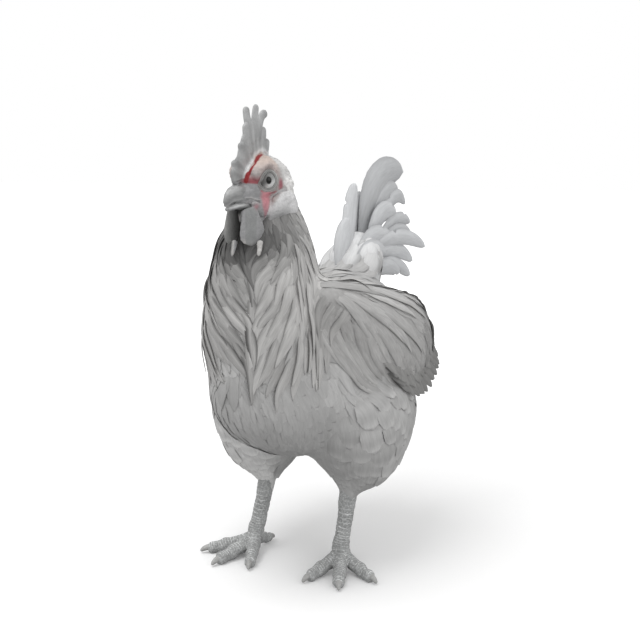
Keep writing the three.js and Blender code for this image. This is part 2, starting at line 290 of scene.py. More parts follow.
# Place, target, size and power.
KEY_LIGHT = ((-0.35, -0.75, 2.3), (0, 0, 0.2), 1.5, 24)
FILL_LIGHT = ((1.6, -0.9, 0.9), (0, 0, 0.25), 1.4, 5)
SKY = 0.72
FLOOR_SIZE = 12.0
FLOOR_SEEN = (0.9, 0.9, 0.9, 1)
FLOOR_UNSEEN = (0.5, 0.5, 0.5, 1)
FLOOR_GLOW = (0.3, 1.0, 0.12, 0.6)  # from 0.12 at 0.3 m from the middle to 0.6 at 1 m


def node(tree, kind, *inputs, output=0, **settings):
    """Adds a shader node and gives one output. Its inputs, in order or by name, are sockets or constants."""
    made = tree.nodes.new(kind)
    for key in [key for key in settings if hasattr(made, key)]:
        setattr(made, key, settings.pop(key))
    named = [(made.inputs[key], value) for key, value in settings.items()]
    for socket, value in [*zip(made.inputs, inputs), *named]:
        if isinstance(value, bpy.types.NodeSocket):
            tree.links.new(value, socket)
        else:
            socket.default_value = value
    return made.outputs[output] if made.outputs else None


def object_place(tree):
    return node(tree, "ShaderNodeTexCoord", output="Object")


def split_by_ray(tree, out_kind, unseen, seen):
    """Shows one shader to the camera and gives the other to the light."""
    direct = node(tree, "ShaderNodeLightPath", output="Is Camera Ray")
    node(tree, out_kind, node(tree, "ShaderNodeMixShader", direct, unseen, seen))


def emptied(owner):
    owner.use_nodes = True
    owner.node_tree.nodes.clear()
    return owner.node_tree


def make_camera():
    data = bpy.data.cameras.new("camera")
    data.sensor_fit = "HORIZONTAL"
    data.angle = math.radians(CAMERA_ANGLE)
    camera = bpy.data.objects.new("camera", data)
    camera.location = Vector((CAMERA_PLACE + PLACE) * MM)
    camera.rotation_euler = [math.radians(turn) for turn in CAMERA_TURN]
    bpy.context.scene.collection.objects.link(camera)
    bpy.context.scene.camera = camera


def area_light(name, place, target, size, power):
    data = bpy.data.lights.new(name, "AREA")
    data.shape = "DISK"
    data.size = size
    data.energy = power
    light = bpy.data.objects.new(name, data)
    light.location = place
    light.rotation_euler = (Vector(target) - Vector(place)).to_track_quat("-Z", "Y").to_euler()
    bpy.context.scene.collection.objects.link(light)


def make_floor():
    mesh = bpy.data.meshes.new("floor")
    corners = [(x * FLOOR_SIZE, y * FLOOR_SIZE, 0) for x, y in ((-1, -1), (1, -1), (1, 1), (-1, 1))]
    mesh.from_pydata(corners, [], [(0, 1, 2, 3)])
    floor = bpy.data.objects.new("floor", mesh)
    bpy.context.scene.collection.objects.link(floor)
    material = bpy.data.materials.new("floor")
    tree = emptied(material)
    away = node(tree, "ShaderNodeVectorMath", object_place(tree), operation="LENGTH", output="Value")
    fade = node(tree, "ShaderNodeMapRange", away, *FLOOR_GLOW)
    glow = node(tree, "ShaderNodeEmission", WHITE, fade)
    unseen, seen = (node(tree, "ShaderNodeBsdfDiffuse", colour) for colour in (FLOOR_UNSEEN, FLOOR_SEEN))
    split_by_ray(tree, "ShaderNodeOutputMaterial", unseen, node(tree, "ShaderNodeAddShader", seen, glow))
    mesh.materials.append(material)


def make_world():
    world = bpy.data.worlds.new("studio")
    bpy.context.scene.world = world
    tree = emptied(world)
    light, seen = (node(tree, "ShaderNodeBackground", WHITE, strength) for strength in (SKY, 1.0))
    split_by_ray(tree, "ShaderNodeOutputWorld", light, seen)


def make_stage():
    make_camera()
    make_floor()
    make_world()
    area_light("key", *KEY_LIGHT)
    area_light("fill", *FILL_LIGHT)
    bpy.context.scene.view_settings.view_transform = "Standard"


# ---------------------------------------------------------------- materials
def material_of(name, roughness, specular, pattern, bump=None, **settings):
    """Shows a piece's markings and painted shade, mottled by a pattern, with the pattern's height as a bump.
    """
    material = bpy.data.materials.new(name)
    material.use_nodes = True
    tree = material.node_tree
    shader = tree.nodes["Principled BSDF"]
    settings.update({"Roughness": roughness, "Specular IOR Level": specular})
    for key, value in settings.items():
        shader.inputs[key.replace("_", " ")].default_value = value
    shade, height = pattern(tree)
    markings = node(tree, "ShaderNodeAttribute", attribute_name="MarkingsAndShade", output="Color")
    colour = node(tree, "ShaderNodeVectorMath", markings, Scale=shade, operation="SCALE")
    tree.links.new(colour, shader.inputs["Base Color"])
    if bump:
        distance, strength = bump
        normal = node(tree, "ShaderNodeBump", Height=height, Distance=distance * MM, Strength=strength)
        tree.links.new(normal, shader.inputs["Normal"])
    return material


def noise(tree, place, scale, detail):
    return node(tree, "ShaderNodeTexNoise", Vector=place, Scale=scale, Detail=detail)


def stretched_noise(tree, place, scale, detail):
    return noise(tree, node(tree, "ShaderNodeMapping", place, Scale=scale), 1.0, detail)


def cells(tree, place, scale):
    """The distance to the nearest of many scattered points."""
    return node(tree, "ShaderNodeTexVoronoi", Vector=place, Scale=scale)


def ramped(tree, value, low, high, from_low=0.3, from_high=0.7):
    return node(tree, "ShaderNodeMapRange", value, from_low, from_high, low, high)


def maths(tree, operation, a, b=0.0):
    return node(tree, "ShaderNodeMath", a, b, operation=operation)


def times(tree, a, b):
    return maths(tree, "MULTIPLY", a, b)


def vane_material(name, streak, roughness=0.75):
    """Plumage: barbs and streaks that run along each vane."""
    def pattern(tree):
        along = node(tree, "ShaderNodeAttribute", attribute_name="Barbs", output="Vector")
        fine = stretched_noise(tree, along, (1.1, 0.1, 1.0), 3.0)
        broad = stretched_noise(tree, along, (0.35, 0.05, 1.0), 2.0)
        return times(tree, *(ramped(tree, layer, 1 - streak, 1 + streak) for layer in (fine, broad))), fine
    return material_of(name, roughness, 0.25, pattern, bump=(0.25, 0.6))


def bare_pattern(tree):
    """Face, comb, wattles and lobes: pores and pebbles."""
    place = object_place(tree)
    pebbles = cells(tree, place, 900.0)
    mottle = ramped(tree, noise(tree, place, 260.0, 4.0), 0.94, 1.06)
    return times(tree, mottle, ramped(tree, pebbles, 1.04, 0.91, 0.1, 0.7)), pebbles


def down_pattern(tree):
    """The skin under the plumage."""
    return ramped(tree, noise(tree, object_place(tree), 180.0, 3.0), 0.9, 1.1), None


def leg_pattern(tree):
    """Stippled legs, with pale edges across the toes and small scales at their sides."""
    place = object_place(tree)
    scales = node(tree, "ShaderNodeAttribute", attribute_name="Scales", output="Vector")
    along, _, front = node(tree, "ShaderNodeSeparateXYZ", scales, output=slice(0, 3))
    wobble = ramped(tree, noise(tree, place, 240.0, 2.0), -0.5, 0.5)
    phase = maths(tree, "FRACT", maths(tree, "DIVIDE", maths(tree, "ADD", along, wobble), SCUTE))
    edge = ramped(tree, maths(tree, "ABSOLUTE", maths(tree, "SUBTRACT", phase, 0.5)), 0, 1, 0.36, 0.48)
    patchy = ramped(tree, noise(tree, place, 150.0, 2.0), 0.25, 1.0, 0.35, 0.6)
    lines = times(tree, times(tree, edge, patchy), front)
    grains = cells(tree, place, 640.0)
    mottle = ramped(tree, noise(tree, place, 420.0, 3.0), 0.85, 1.15)
    shade = times(tree, mottle, ramped(tree, grains, 1.22, 0.74, 0.05, 0.65))
    bright = maths(tree, "ADD", shade, times(tree, lines, 0.9))
    return maths(tree, "SUBTRACT", bright, times(tree, front, 0.1)), grains


def horn_pattern(tree):
    """Beak and claws: fine lengthwise streaks."""
    streaks = stretched_noise(tree, object_place(tree), (500.0, 120.0, 500.0), 3.0)
    return ramped(tree, streaks, 0.86, 1.12), streaks


def eye_pattern(tree):
    """The iris's rays."""
    return ramped(tree, noise(tree, object_place(tree), 1400.0, 3.0), 0.85, 1.15), None


def write(obj, name, kind, field, values):
    """Keeps one value for each point."""
    layer = obj.data.attributes.new(name, kind, "POINT")
    layer.data.foreach_set(field, values.astype(np.float32).ravel())


def paint(obj, colours):
    # one colour for each point: the markings together with painted light and shade
    write(obj, "MarkingsAndShade", "FLOAT_COLOR", "color", np.hstack([colours, np.ones((len(colours), 1))]))


def finish(obj, materials, slot, *replaced):
    for material in materials:
        obj.data.materials.append(material)
    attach(obj, "root")
    if replaced:
        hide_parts(*replaced)


# ---------------------------------------------------------------- body skin and its tracts
# How far the skin of each tract lies inside the solids.
COAT_DEPTH = {"neck": 3.0, "trunk": 3.0, "wing_left": 2.0, "wing_right": 2.0, "thigh_left": 2.2,
              "thigh_right": 2.2, "tail": 4.0}
TRACTS = list(COAT_DEPTH)
BODY_VOXEL = 3.0
NODE_GROWTH = 0.6  # closes the seams between the solids
TAIL_BASE = (
    (0, 88, 262, 36, 20, 20), (0, 112, 268, 38, 28, 24), (0, 136, 282, 29, 32, 26),
    (0, 152, 302, 16, 22, 18),
)
# The top of the shank, which the lowest feathers of the thigh lie on: x, y, z, radius.
HOCK_STUB = ((45, 17, 84, 10), (45, 17, 72, 9.6), (44.5, 16, 62, 9.2), (44, 15, 50, 8.6))


class Ground:
    """A surface that plumage grows from: nearest points and normals, and each tract's share."""

    def __init__(self, verts, quads, shares):
        self.verts, self.quads, self.shares = verts, quads, shares
        self.normals, self.centres, self.areas = normals_of(verts, quads)
        self.face_normals = unit(self.normals[quads].sum(axis=1))
        self.face_shares = shares[quads].mean(axis=1)
        self.tree = BVHTree.FromPolygons(verts.tolist(), quads.tolist())

    def drop(self, points):
        """The surface's nearest points, with their normals and shares."""
        found = [self.tree.find_nearest(p) for p in points.tolist()]
        near = np.array([f[0] for f in found])
        face = np.array([f[2] for f in found])
        return near, self.face_normals[face], self.face_shares[face]

    def at_faces(self):
        return self.centres, self.face_normals, self.face_shares


def body_ground():
    names = ["neck", "trunk"] + [f"{part}_{side}" for part in ("wing", "thigh") for side, _ in SIDES]
    shapes = {name: node_shape(name, NODE_GROWTH) for name in names}
    shapes["tail"] = loft(TAIL_BASE, start=0.1, end=0.2)
    for side, sign in SIDES:
        stub = loft([(sign * x, y, z, a, a, a) for x, y, z, a in HOCK_STUB])
        shapes[f"thigh_{side}"] = joined([shapes[f"thigh_{side}"], stub])
    verts, quads = fused(shapes.values(), BODY_VOXEL, 24)
    gaps = []
    for name in TRACTS:
        tree = BVHTree.FromPolygons(*(list(map(tuple, shapes[name][0])), shapes[name][1]))
        gaps.append([tree.find_nearest(p)[3] for p in verts.tolist()])
    owner = np.argmin(np.array(gaps), axis=0)
    shares = averaged(np.eye(len(TRACTS))[owner], quads, 6)
    normals, _, _ = normals_of(verts, quads)
    depth = shares @ np.array(list(COAT_DEPTH.values()))
    verts = averaged(verts - normals * depth[:, None], quads, 2)
    return Ground(verts, quads, shares)


# ---------------------------------------------------------------- head
# Lofts from the centre of the skull: x, y, z, half width, half height up, half height down.
SKULL = (
    (0, -29, -2, 9.2, 13, 13), (0, -18, 0, 13.4, 20, 18), (0, -7, 2, 16.2, 23, 22), (0, 5, 3, 18.2, 24, 25),
    (0, 17, 2, 19.4, 23, 27), (0, 27, -1, 18, 19, 24), (0, 35, -5, 11, 12, 15),
)
MUZZLE = (
    (0, -18, -4.5, 11.5, 14, 9), (0, -27, -4.5, 9.8, 12.3, 7.2), (0, -34, -4.6, 8.3, 10.7, 6.4),
    (0, -41, -5, 5.6, 8.4, 5.2), (0, -46, -7, 3.4, 5, 4),
)
BROW = (
    (7.5, -26, 8, 4, 5, 5), (9.8, -19.5, 11, 5.4, 8, 7), (11.6, -10, 14.5, 5.6, 9, 7), (11, 2, 17, 4, 6, 6),
)
NAPE = (
    (0, 20, 15, 12, 12, 12), (0, 21, 4, 18.5, 18, 18), (0, 20, -8, 22, 21, 21), (0, 17, -22, 27, 25, 26),
    (0, 13, -38, 31, 28, 28),
)
THROAT = (
    (0, -4, -10, 12, 14, 14), (0, -2, -24, 15, 22, 18), (0, 4, -40, 20, 28, 20), (0, 6, -58, 22, 30, 20),
)
COMB_BLADE = (
    (0, -41, 4, 2.6, 5, 5), (0, -36, 8, 2.8, 10, 6), (0, -29, 13, 2.9, 13, 9),
    (-0.3, -20.5, 18, 2.8, 20, 10), (-0.6, -12, 21, 2.6, 29, 10), (-1.2, -2, 23, 2.5, 31, 10),
    (-2, 8, 24, 2.4, 24, 9), (-3, 17, 24, 2.2, 14, 7), (-3.4, 23, 23, 1.6, 6, 4),
)
# The comb's points, front to back: their middle line from root to tip (x, y, z), and half the width there.
COMB_POINTS = (
    (((0, -31, 6), 6.5), ((0, -35.5, 13), 5.2), ((0, -38.8, 22.5), 3.4)),
    (((0, -20, 14), 7.0), ((0, -25, 25), 5.4), ((0.3, -29.2, 37), 3.5)),
    (((0, -14, 26), 6.6), ((0.4, -18.6, 40), 5.2), ((0.8, -22.4, 53), 3.7)),
    (((0, -11, 34), 6.5), ((-0.4, -15, 52), 5.6), ((-0.8, -18.6, 66.5), 4.2)),
    (((-1, -4, 36), 6.5), ((-1, -3, 54), 5.6), ((-1.2, -0.2, 69.5), 4.0)),
    (((-1.4, 2, 38), 6.5), ((-2.2, 6, 52), 5.0), ((-2.8, 12, 60), 4.4), ((-3.4, 21, 63), 3.3)),
    (((-2, 8, 32), 6.0), ((-3.2, 13, 42), 5.0), ((-4, 16.8, 50.5), 3.8)),
    (((-2.6, 14, 27), 5.5), ((-3.8, 20, 34), 4.6), ((-4.6, 23.6, 40.5), 3.4)),
)
WATTLE = (
    (7.4, -31, -17, 2.6, 6.5, 6.5), (9, -29, -26, 2.8, 10, 9.5), (9.8, -27.5, -37, 3.0, 12.5, 12.5),
    (9.8, -26.5, -44, 2.8, 11, 11), (9.8, -26, -49, 2.0, 6, 6),
)
WATTLE_TWIST = {1: -0.45, -1: 0.0}  # the left one turns outwards
LOBE = (
    (14, -10, -21, 3, 6, 8), (17.6, -5, -21.5, 5.4, 12, 15), (21.4, 4, -20, 7.2, 15, 18),
    (23, 12, -18, 7.4, 15, 18), (22, 19, -16, 5.6, 12, 14), (19.6, 23, -14, 3, 7, 8),
)
TUFT = ((18.6, 12, 3, 3, 4, 4), (19.4, 17, 1, 4, 7, 7), (19, 23, -2, 3.4, 6, 6))  # behind the eye
# Pale tips below the wattles, from top to tip.
THROAT_TIPS = (((18.5, -29, -44), (19.4, -34, -57)), ((-4, -33, -44), (-4.6, -37, -58)))
CHEEK_FILL = (
    (8, -26, -13, 3, 4, 5), (10, -15, -15, 4.5, 7, 9), (12, -5, -17, 5, 9, 11), (13, 4, -18, 4, 8, 9),
)
HEAD_VOXEL = 0.6

# The way the left eye looks, and the two ways across that.
LOOK = np.array([0.766, -0.64, 0.04])
GAZE = unit(LOOK)
FORWARD = unit(np.array([LOOK[1], -LOOK[0], 0.0]))
UPWARD = np.cross(FORWARD, GAZE)
BALL = 7.6  # radius of the eyeball
BALL_CENTRE = EYE + (0.7, 1.3, -0.1)
LID_WIDTH = 5.4  # half the opening, across and along its long axis
LID_HEIGHT = 6.8
LID_LEAN = 0.26  # the opening's top leans to the rear

# Lines on the left side of the head.
COMB_EDGE = (
    (4, -42, 5.2), (5, -34, 6.2), (5.4, -28.9, 7.5), (6.2, -23.1, 16.2), (6.4, -17.2, 20.6), (4.2, -7.8, 26),
    (1.2, 4.7, 29.5), (0.5, 12, 29), (0.5, 24, 22),
)
MOUTH = ((6.9, -33, -10.2), (9, -28, -10.4), (11, -23.6, -11.2), (13.1, -20, -12.2))
MOUTH_HEIGHT = ([y for _, y, _ in MOUTH], [z for _, _, z in MOUTH])
LOWER_LIP = ((7, -31, -14), (8.9, -27, -13.5), (11.6, -22.9, -13.2), (12.8, -20.5, -13.8))
RED_STRIP = (
    (5.2, -29.4, 5.0), (5.8, -27.8, 9.5), (8.2, -26.4, 14.8), (8.6, -20.7, 19.3), (4.3, -7.6, 24.7),
    (1.0, 5.5, 28.3), (0, 16, 29.2),
)
RED_PATCH = ((5.6, -29, 5.2), (9, -27, 4.4), (11.8, -22.8, 3.9), (12, -18, 4.6))
UNDER_EYE = ((12.5, -17, -3.4), (15.4, -9.3, -5.4), (16.8, 1.3, -4.6))
PINK_CHEEK = ((14, -10.5, -6), (15, -13.6, -16), (14, -10.5, -26))
CREASE = ((0, -41, 5.2), (2.4, -38.7, 5), (3, -32, 6), (5.2, -29.4, 7.4))
PINK_SPOT = (11.9, -23.4, -16.2)
BRIGHT_TUFT = (19.5, 16, 0.5)
COMB_ROOT = np.array([-1.0, -8.0, 6.0])  # the comb's streaks fan out from here


def comb_point(points):
    stations = [(*place, 2.9 - 0.016 * place[2], half, half) for place, half in points]
    return loft(stations, sides=20, rings=34, start=0.1, end=0.12)


def head_shapes():
    shapes = [loft(SKULL, start=0.06, end=0.1), loft(MUZZLE), loft(NAPE), loft(THROAT)]
    shapes.append(loft(COMB_BLADE, rings=50, start=0.06))
    shapes += [comb_point(points) for points in COMB_POINTS]
    for _, sign in SIDES:
        forms = [(WATTLE, (1, sign * WATTLE_TWIST[sign], 0), 0.05, 0.2)]
        forms += [(form, (1, 0, 0), 0.14, 0.16) for form in (BROW, LOBE, TUFT, CHEEK_FILL)]
        for form, level, start, end in forms:
            shapes.append(loft([(sign * x, *rest) for x, *rest in form], level, start=start, end=end))
    for top, tip in THROAT_TIPS:
        shapes.append(loft([(*top, 3.0, 2.4, 2.4), (*tip, 1.5, 1.2, 1.2)], start=0.1, end=0.3))
    return shapes


def around_eye(q):
    """Distance along the gaze, distance across it beyond the lids' edge, turn, and the edge's distance."""
    off = near_side(q) - BALL_CENTRE
    along, ahead, above = off @ GAZE, off @ FORWARD, off @ UPWARD
    turn = np.arctan2(above, ahead)
    lean = turn - LID_LEAN
    edge = LID_WIDTH * LID_HEIGHT / np.hypot(LID_HEIGHT * np.cos(lean), LID_WIDTH * np.sin(lean))
    edge = edge + 1.5 * hump(turn, -0.42, 0.34) - 0.3 * hump(turn, 0.9, 0.5)
    return along, np.hypot(ahead, above) - edge, turn, edge


def set_lids(q):
    """Opens the socket and folds two rings of lid around the ball."""
    along, beyond, _, edge = around_eye(q)
    rim = np.sqrt(BALL**2 - np.minimum(edge, BALL - 0.6) ** 2)
    inside = np.sqrt(np.maximum(BALL**2 - np.clip(beyond + edge, 0, BALL - 0.6) ** 2, 0)) - 1.6
    fold = 0.15 + 0.12 * beyond + 0.55 * hump(beyond, 0.9, 0.8) - 0.5 * hump(beyond, 2.8, 0.5)
    wanted = np.where(beyond < 0, mix(inside, rim + 0.2, step(-0.7, 0, beyond)), rim + fold)
    move = (wanted - along) * step(6.0, 2.6, beyond) * (along > -1)
    return q + GAZE * own_side(q) * move[:, None]


def comb_share(q):
    """1 on the comb, 0 on the face."""
    edge = np.array(COMB_EDGE, float)
    floor = np.interp(q[:, 1], edge[:, 1], edge[:, 2])
    return step(-0.6, 0.6, q[:, 2] - floor) * step(7.6, 6.2, np.abs(q[:, 0]))


def wattle_share(q):
    x, y, z = near_side(q).T
    off = (x - 9.3) + 0.45 * (y + 28) * (q[:, 0] > 0)
    return step(-14, -19, z) * step(-12, -15, y) * step(5.5, 4.0, np.abs(off))


def lobe_share(q):
    x, y, z = near_side(q).T
    across = ((y - 7) / 18.5) ** 2 + ((z + 21 - 0.24 * (y - 5)) / 18) ** 2
    return step(1.06, 0.9, across) * step(11, 13, x)


def comb_bearing(q):
    """Each place's direction and distance from the comb's root."""
    up, back = q[:, 2] - COMB_ROOT[2], q[:, 1] - COMB_ROOT[1]
    return np.arctan2(up, back), np.hypot(up, back)


def face_relief(q):
    """How far the finer forms stand off the head."""
    folded = near_side(q)
    _, y, z = folded.T
    _, beyond, turn, _ = around_eye(q)
    comb, wattle, lobe = comb_share(q), wattle_share(q), lobe_share(q)
    fan, _ = comb_bearing(q)
    height = comb * (0.14 * np.sin(fan * 26 + 2.5 * waves(q, 26, 61)) + 0.2 * waves(q, 11, 62))
    bare = (1 - comb) * step(1.5, 4, beyond)
    height += bare * (1 - wattle) * 0.16 * waves(q * (1, 1, 1.6), 4.2, 63)
    height += bare * 0.12 * step(12, 5, beyond) * np.sin(turn * 17 + waves(q, 8, 64))
    height -= 0.5 * hump(gap_to(folded, COMB_EDGE), 0, 1.0) * step(22, 14, y)
    height += 1.0 * hump(beyond, 6.5, 2.4) * step(0.1, 0.9, turn) * step(3.0, 2.2, turn) * (1 - comb)
    mouth = gap_to(folded, MOUTH)
    height -= 1.5 * hump(mouth, 0, 0.8)
    height += 0.5 * hump(mouth, 1.8, 0.8) * step(0, 1, z - np.interp(y, *MOUTH_HEIGHT))
    height += 0.9 * hump(gap_to(folded, LOWER_LIP), 0, 1.5)
    height -= 1.3 * hump(np.linalg.norm(folded - MOUTH[-1], axis=1), 0, 1.5)
    height += lobe * (0.45 * waves(q, 13, 65) + 0.12 * waves(q, 4.5, 66))
    return height + wattle * 0.15 * waves(q, 12, 67)


def feather_colour(q):
    """The small plumage of crown, nape and cheeks; whitest in the tuft behind the eye."""
    folded = near_side(q)
    _, y, z = folded.T
    light = 182 + 5 * waves(q, 12, 25) - 30 * step(-16, -34, z) * step(16, -2, y)
    light += 28 * step(8, 18, y) * step(-14, 0, z)
    light += 34 * hump(np.linalg.norm(folded - BRIGHT_TUFT, axis=1), 0, 8)
    light += 18 * step(10, 20, z) * step(20, 8, y)
    return shown(light, (1.01, 1.0, 0.985), 1.1)


def comb_colour(q, folded):
    _, y, _ = q.T
    fan, reach = comb_bearing(q)
    light = 160 + 12 * step(24, 56, reach) - 14 * step(-24, -36, y) - 6 * step(8, 16, y)
    light += 5 * waves(q, 14, 71) + 8 * np.sin(fan * 19 + 2 * waves(q, 24, 72)) * step(8, 20, reach)
    light += 58 * hump(gap_to(folded, COMB_EDGE), 1.5, 2.2) * step(-33, -26, y)
    return shown(light, (0.99, 1.0, 1.0))


def lid_colour(beyond):
    return layered(
        mix(tone(140, 140, 138), tone(120, 120, 119), hump(beyond, 1.3, 0.35)),
        (tone(186, 186, 184), 0.9 * hump(beyond, 2.1, 0.4)),
        (tone(176, 176, 174), 0.6 * hump(beyond, 0.45, 0.3)),
        (tone(84, 84, 84), hump(beyond, -0.2, 0.32)),
        (tone(112, 110, 109), 0.8 * hump(beyond, 2.8, 0.35)),
    )


def lobe_colour(q, n):
    _, y, z = q.T
    # Painted shade at the bottom and lower front; a painted highlight along the rear where the surface turns
    # outwards.
    light = 196 - 52 * step(-19, -32, z) - 26 * hump(y, -3, 7) * step(-16, -22, z) + 7 * waves(q, 9, 77)
    light += 34 * hump(n[:, 0] * own_side(q)[:, 0], 0.25, 0.3) * step(10, 20, y)
    return shown(light, (1.0, 0.995, 1.0))


def wattle_colour(q):
    x, y, z = q.T
    edge = step(9, 12.5, np.abs(y + 28)) + step(-42, -50, z)
    return layered(
        mix(tone(140, 141, 141), tone(162, 162, 161), np.clip(edge, 0, 1)),
        # painted shade: the far wattle, on the right, is darker
        (tone(132, 132, 130), 0.7 * step(1, -2, x)),
    )


def face_colour(q, n):
    folded = near_side(q)
    x, y, z = folded.T
    along, beyond, turn, _ = around_eye(q)
    comb, wattle = comb_share(q), wattle_share(q)
    lores = step(-14.5, -18.5, y + 0.25 * (z - 2)) * step(6, 3, z + 0.35 * (y + 26))
    patch = step(7.5, 0.5, gap_to(folded, RED_PATCH)) * step(-1.2, 0.3, z - 3.6 + 0.1 * (y + 29))
    behind_eye = np.hypot((y - 6.6) / 3.8, (z - 1.6) / 5.6) + 2 * step(12, 8, x)
    cheek, down = from_line(folded, PINK_CHEEK)
    wide = np.interp(z, (-26, -16, -6), (2.8, 5.2, 8.6))
    pink = mix(tone(196, 132, 140), tone(160, 124, 130), step(0.3, 1.0, down))
    cheek_share = step(wide, 0.35 * wide, cheek) * step(-3.6, -5.6, z - 0.02 * (y + 10) ** 2 / 4)
    strip, up = from_line(folded, RED_STRIP)
    strip_share = step(mix(2.3, 1.9, up), mix(1.6, 1.2, up), strip) * step(34, 28, z) * step(0, 2, x)
    gap = step(-17, -22, z) * step(9, 5, x) * step(4, -2, y) * (1 - wattle)
    gap = gap * step(-58, -50, z) * step(-33, -30, y)
    tips = step(-41, -46, z) * (1 - wattle) * step(-26, -31, y) * step(2.6, 3.6, x)
    ring = step(-0.9, -0.2, beyond) * step(3.2, 2.7, beyond) * (along > 0)
    mouth = gap_to(folded, MOUTH)
    above = step(-0.4, 0.6, z - np.interp(y, *MOUTH_HEIGHT)) * step(-14, -20, y)
    return layered(
        mix(tone(168, 161, 159), tone(194, 178, 169), step(10, 24, z)),  # the brow, peach near the strip
        (tone(168, 156, 153), hump(beyond, 4.6, 3.0) * step(0.1, 0.8, turn) * step(3.1, 2.5, turn)),
        (feather_colour(q), step(7, 13, y + 0.1 * z)),
        (tone(150, 146, 145), step(-19, -25, z) * step(6, -2, y)),  # jaw
        (tone(150, 150, 151), lores),
        (tone(142, 72, 78), 0.95 * patch * (1 - comb)),
        (tone(168, 90, 98), 0.85 * hump(gap_to(folded, UNDER_EYE), 0, 1.0)),
        (tone(158, 84, 96), 0.85 * step(1.25, 0.3, behind_eye)),
        (pink, 0.9 * cheek_share),
        (lobe_colour(q, n), lobe_share(q)),
        (comb_colour(q, folded), comb),
        (tone(140, 46, 48), strip_share),
        # painted shade in the crease between the beak and the comb's front
        (tone(92, 90, 88), 0.85 * hump(gap_to(folded, CREASE), 0, 0.6)),
        (wattle_colour(q), wattle),
        (tone(48, 45, 44), gap),  # the shadow between the wattles
        (tone(180, 178, 176), tips),
        (lid_colour(beyond), ring),
        (tone(184, 182, 181), 0.8 * hump(mouth, 1.7, 0.7) * above),  # lips
        (tone(178, 175, 175), 0.9 * hump(gap_to(folded, LOWER_LIP), 0, 1.7)),
        # painted shade in the slit of the mouth and in its corner
        (tone(66, 62, 62), 0.95 * hump(mouth, 0, 0.75)),
        (tone(84, 76, 77), 0.9 * hump(np.linalg.norm(folded - MOUTH[-1], axis=1), 0, 1.5)),
        (tone(176, 122, 130), 0.7 * hump(np.linalg.norm(folded - PINK_SPOT, axis=1), 0, 2.4)),
    )


def head_skin():
    verts, quads = fused([(v + HEAD, f) for v, f in head_shapes()], HEAD_VOXEL, 3)
    verts = set_lids(verts - HEAD) + HEAD
    normals, _, _ = normals_of(verts, quads)
    verts = verts + normals * face_relief(verts - HEAD)[:, None]
    normals, _, _ = normals_of(verts, quads)
    return verts, quads, face_colour(verts - HEAD, normals)


# ---------------------------------------------------------------- eyes and beak
PUPIL = (2.05, 2.8)  # half width and height
PUPIL_AHEAD = 0.9
IRIS = 6.9
# From the centre of the skull, as the head's lofts.
BEAK_UPPER = (
    (0, -24, -5, 8.4, 8.6, 6.0), (0, -31, -4.6, 8.1, 9.6, 6.5), (0, -37, -4.8, 7.3, 9.5, 6.6),
    (0, -43, -6, 5.6, 7.4, 6.0), (0, -49, -9.6, 3.7, 5.0, 5.0), (0, -54, -15, 1.7, 2.3, 2.6),
)
BEAK_LOWER = (
    (0, -21, -16.5, 8.0, 3.4, 3.4), (0, -34, -15.4, 7.1, 2.8, 2.8), (0, -44, -16.4, 5.1, 2.4, 2.5),
    (0, -51.5, -18.4, 2.3, 1.5, 1.6),
)
BEAK_VOXEL = 0.42
BEAK_TINT = (0.99, 1.0, 1.0)
NOSTRIL = ((7.9, -36.5, -1.6), (8.7, -33.2, -0.4))


def ball_faces(rings, sides, sign):
    faces = []
    for r, j in itertools.product(range(rings - 1), range(sides)):
        k = (j + 1) % sides
        faces.append((r * sides + j, r * sides + k, (r + 1) * sides + k, (r + 1) * sides + j)[::-sign])
    faces.append(tuple(range(sides))[::sign])
    faces.append(tuple((rings - 1) * sides + j for j in range(sides))[::-sign])
    return faces


def eye_colour(ahead, above, turn):
    iris = np.hypot(ahead, above) / IRIS
    pupil = np.hypot((ahead - PUPIL_AHEAD) / PUPIL[0], above / PUPIL[1])
    shade = 150 + 70 * step(0.1, -0.6, (0.6 * ahead + above) / IRIS)
    shade = shade - 26 * step(0.1, 0.6, ahead / IRIS) + 4 * np.sin(turn * 31)
    return layered(
        shown(shade, (1.0, 1.01, 1.0), 1.0),
        (tone(104, 104, 106), step(0.92, 1.02, iris)),
        (tone(60, 58, 56), step(1.35, 1.1, pupil) * 0.6),
        (tone(12, 12, 11), step(1.12, 0.98, pupil)),
    )


def make_eye(side, sign, material):
    """An eyeball in rings around its gaze, so that pupil and iris have clean edges."""
    rings, sides = 60, 72
    polar = np.pi * np.linspace(0.002, 0.998, rings) ** 1.35
    turn = np.linspace(0, 2 * np.pi, sides, endpoint=False)
    across = BALL * np.sin(polar)[:, None]
    ahead, above = across * np.cos(turn), across * np.sin(turn)
    points = (BALL_CENTRE + BALL * np.cos(polar)[:, None, None] * GAZE
              + ahead[..., None] * FORWARD + above[..., None] * UPWARD)
    points[..., 0] *= sign
    obj = object_of(f"eyeball_{side}", points.reshape(-1, 3) + HEAD, ball_faces(rings, sides, sign))
    front = np.cos(polar)[:, None, None] > 0
    paint(obj, np.where(front, eye_colour(ahead, above, turn), tone(90, 88, 88)).reshape(-1, 3))
    finish(obj, [material], "eye", f"eye_{side}")


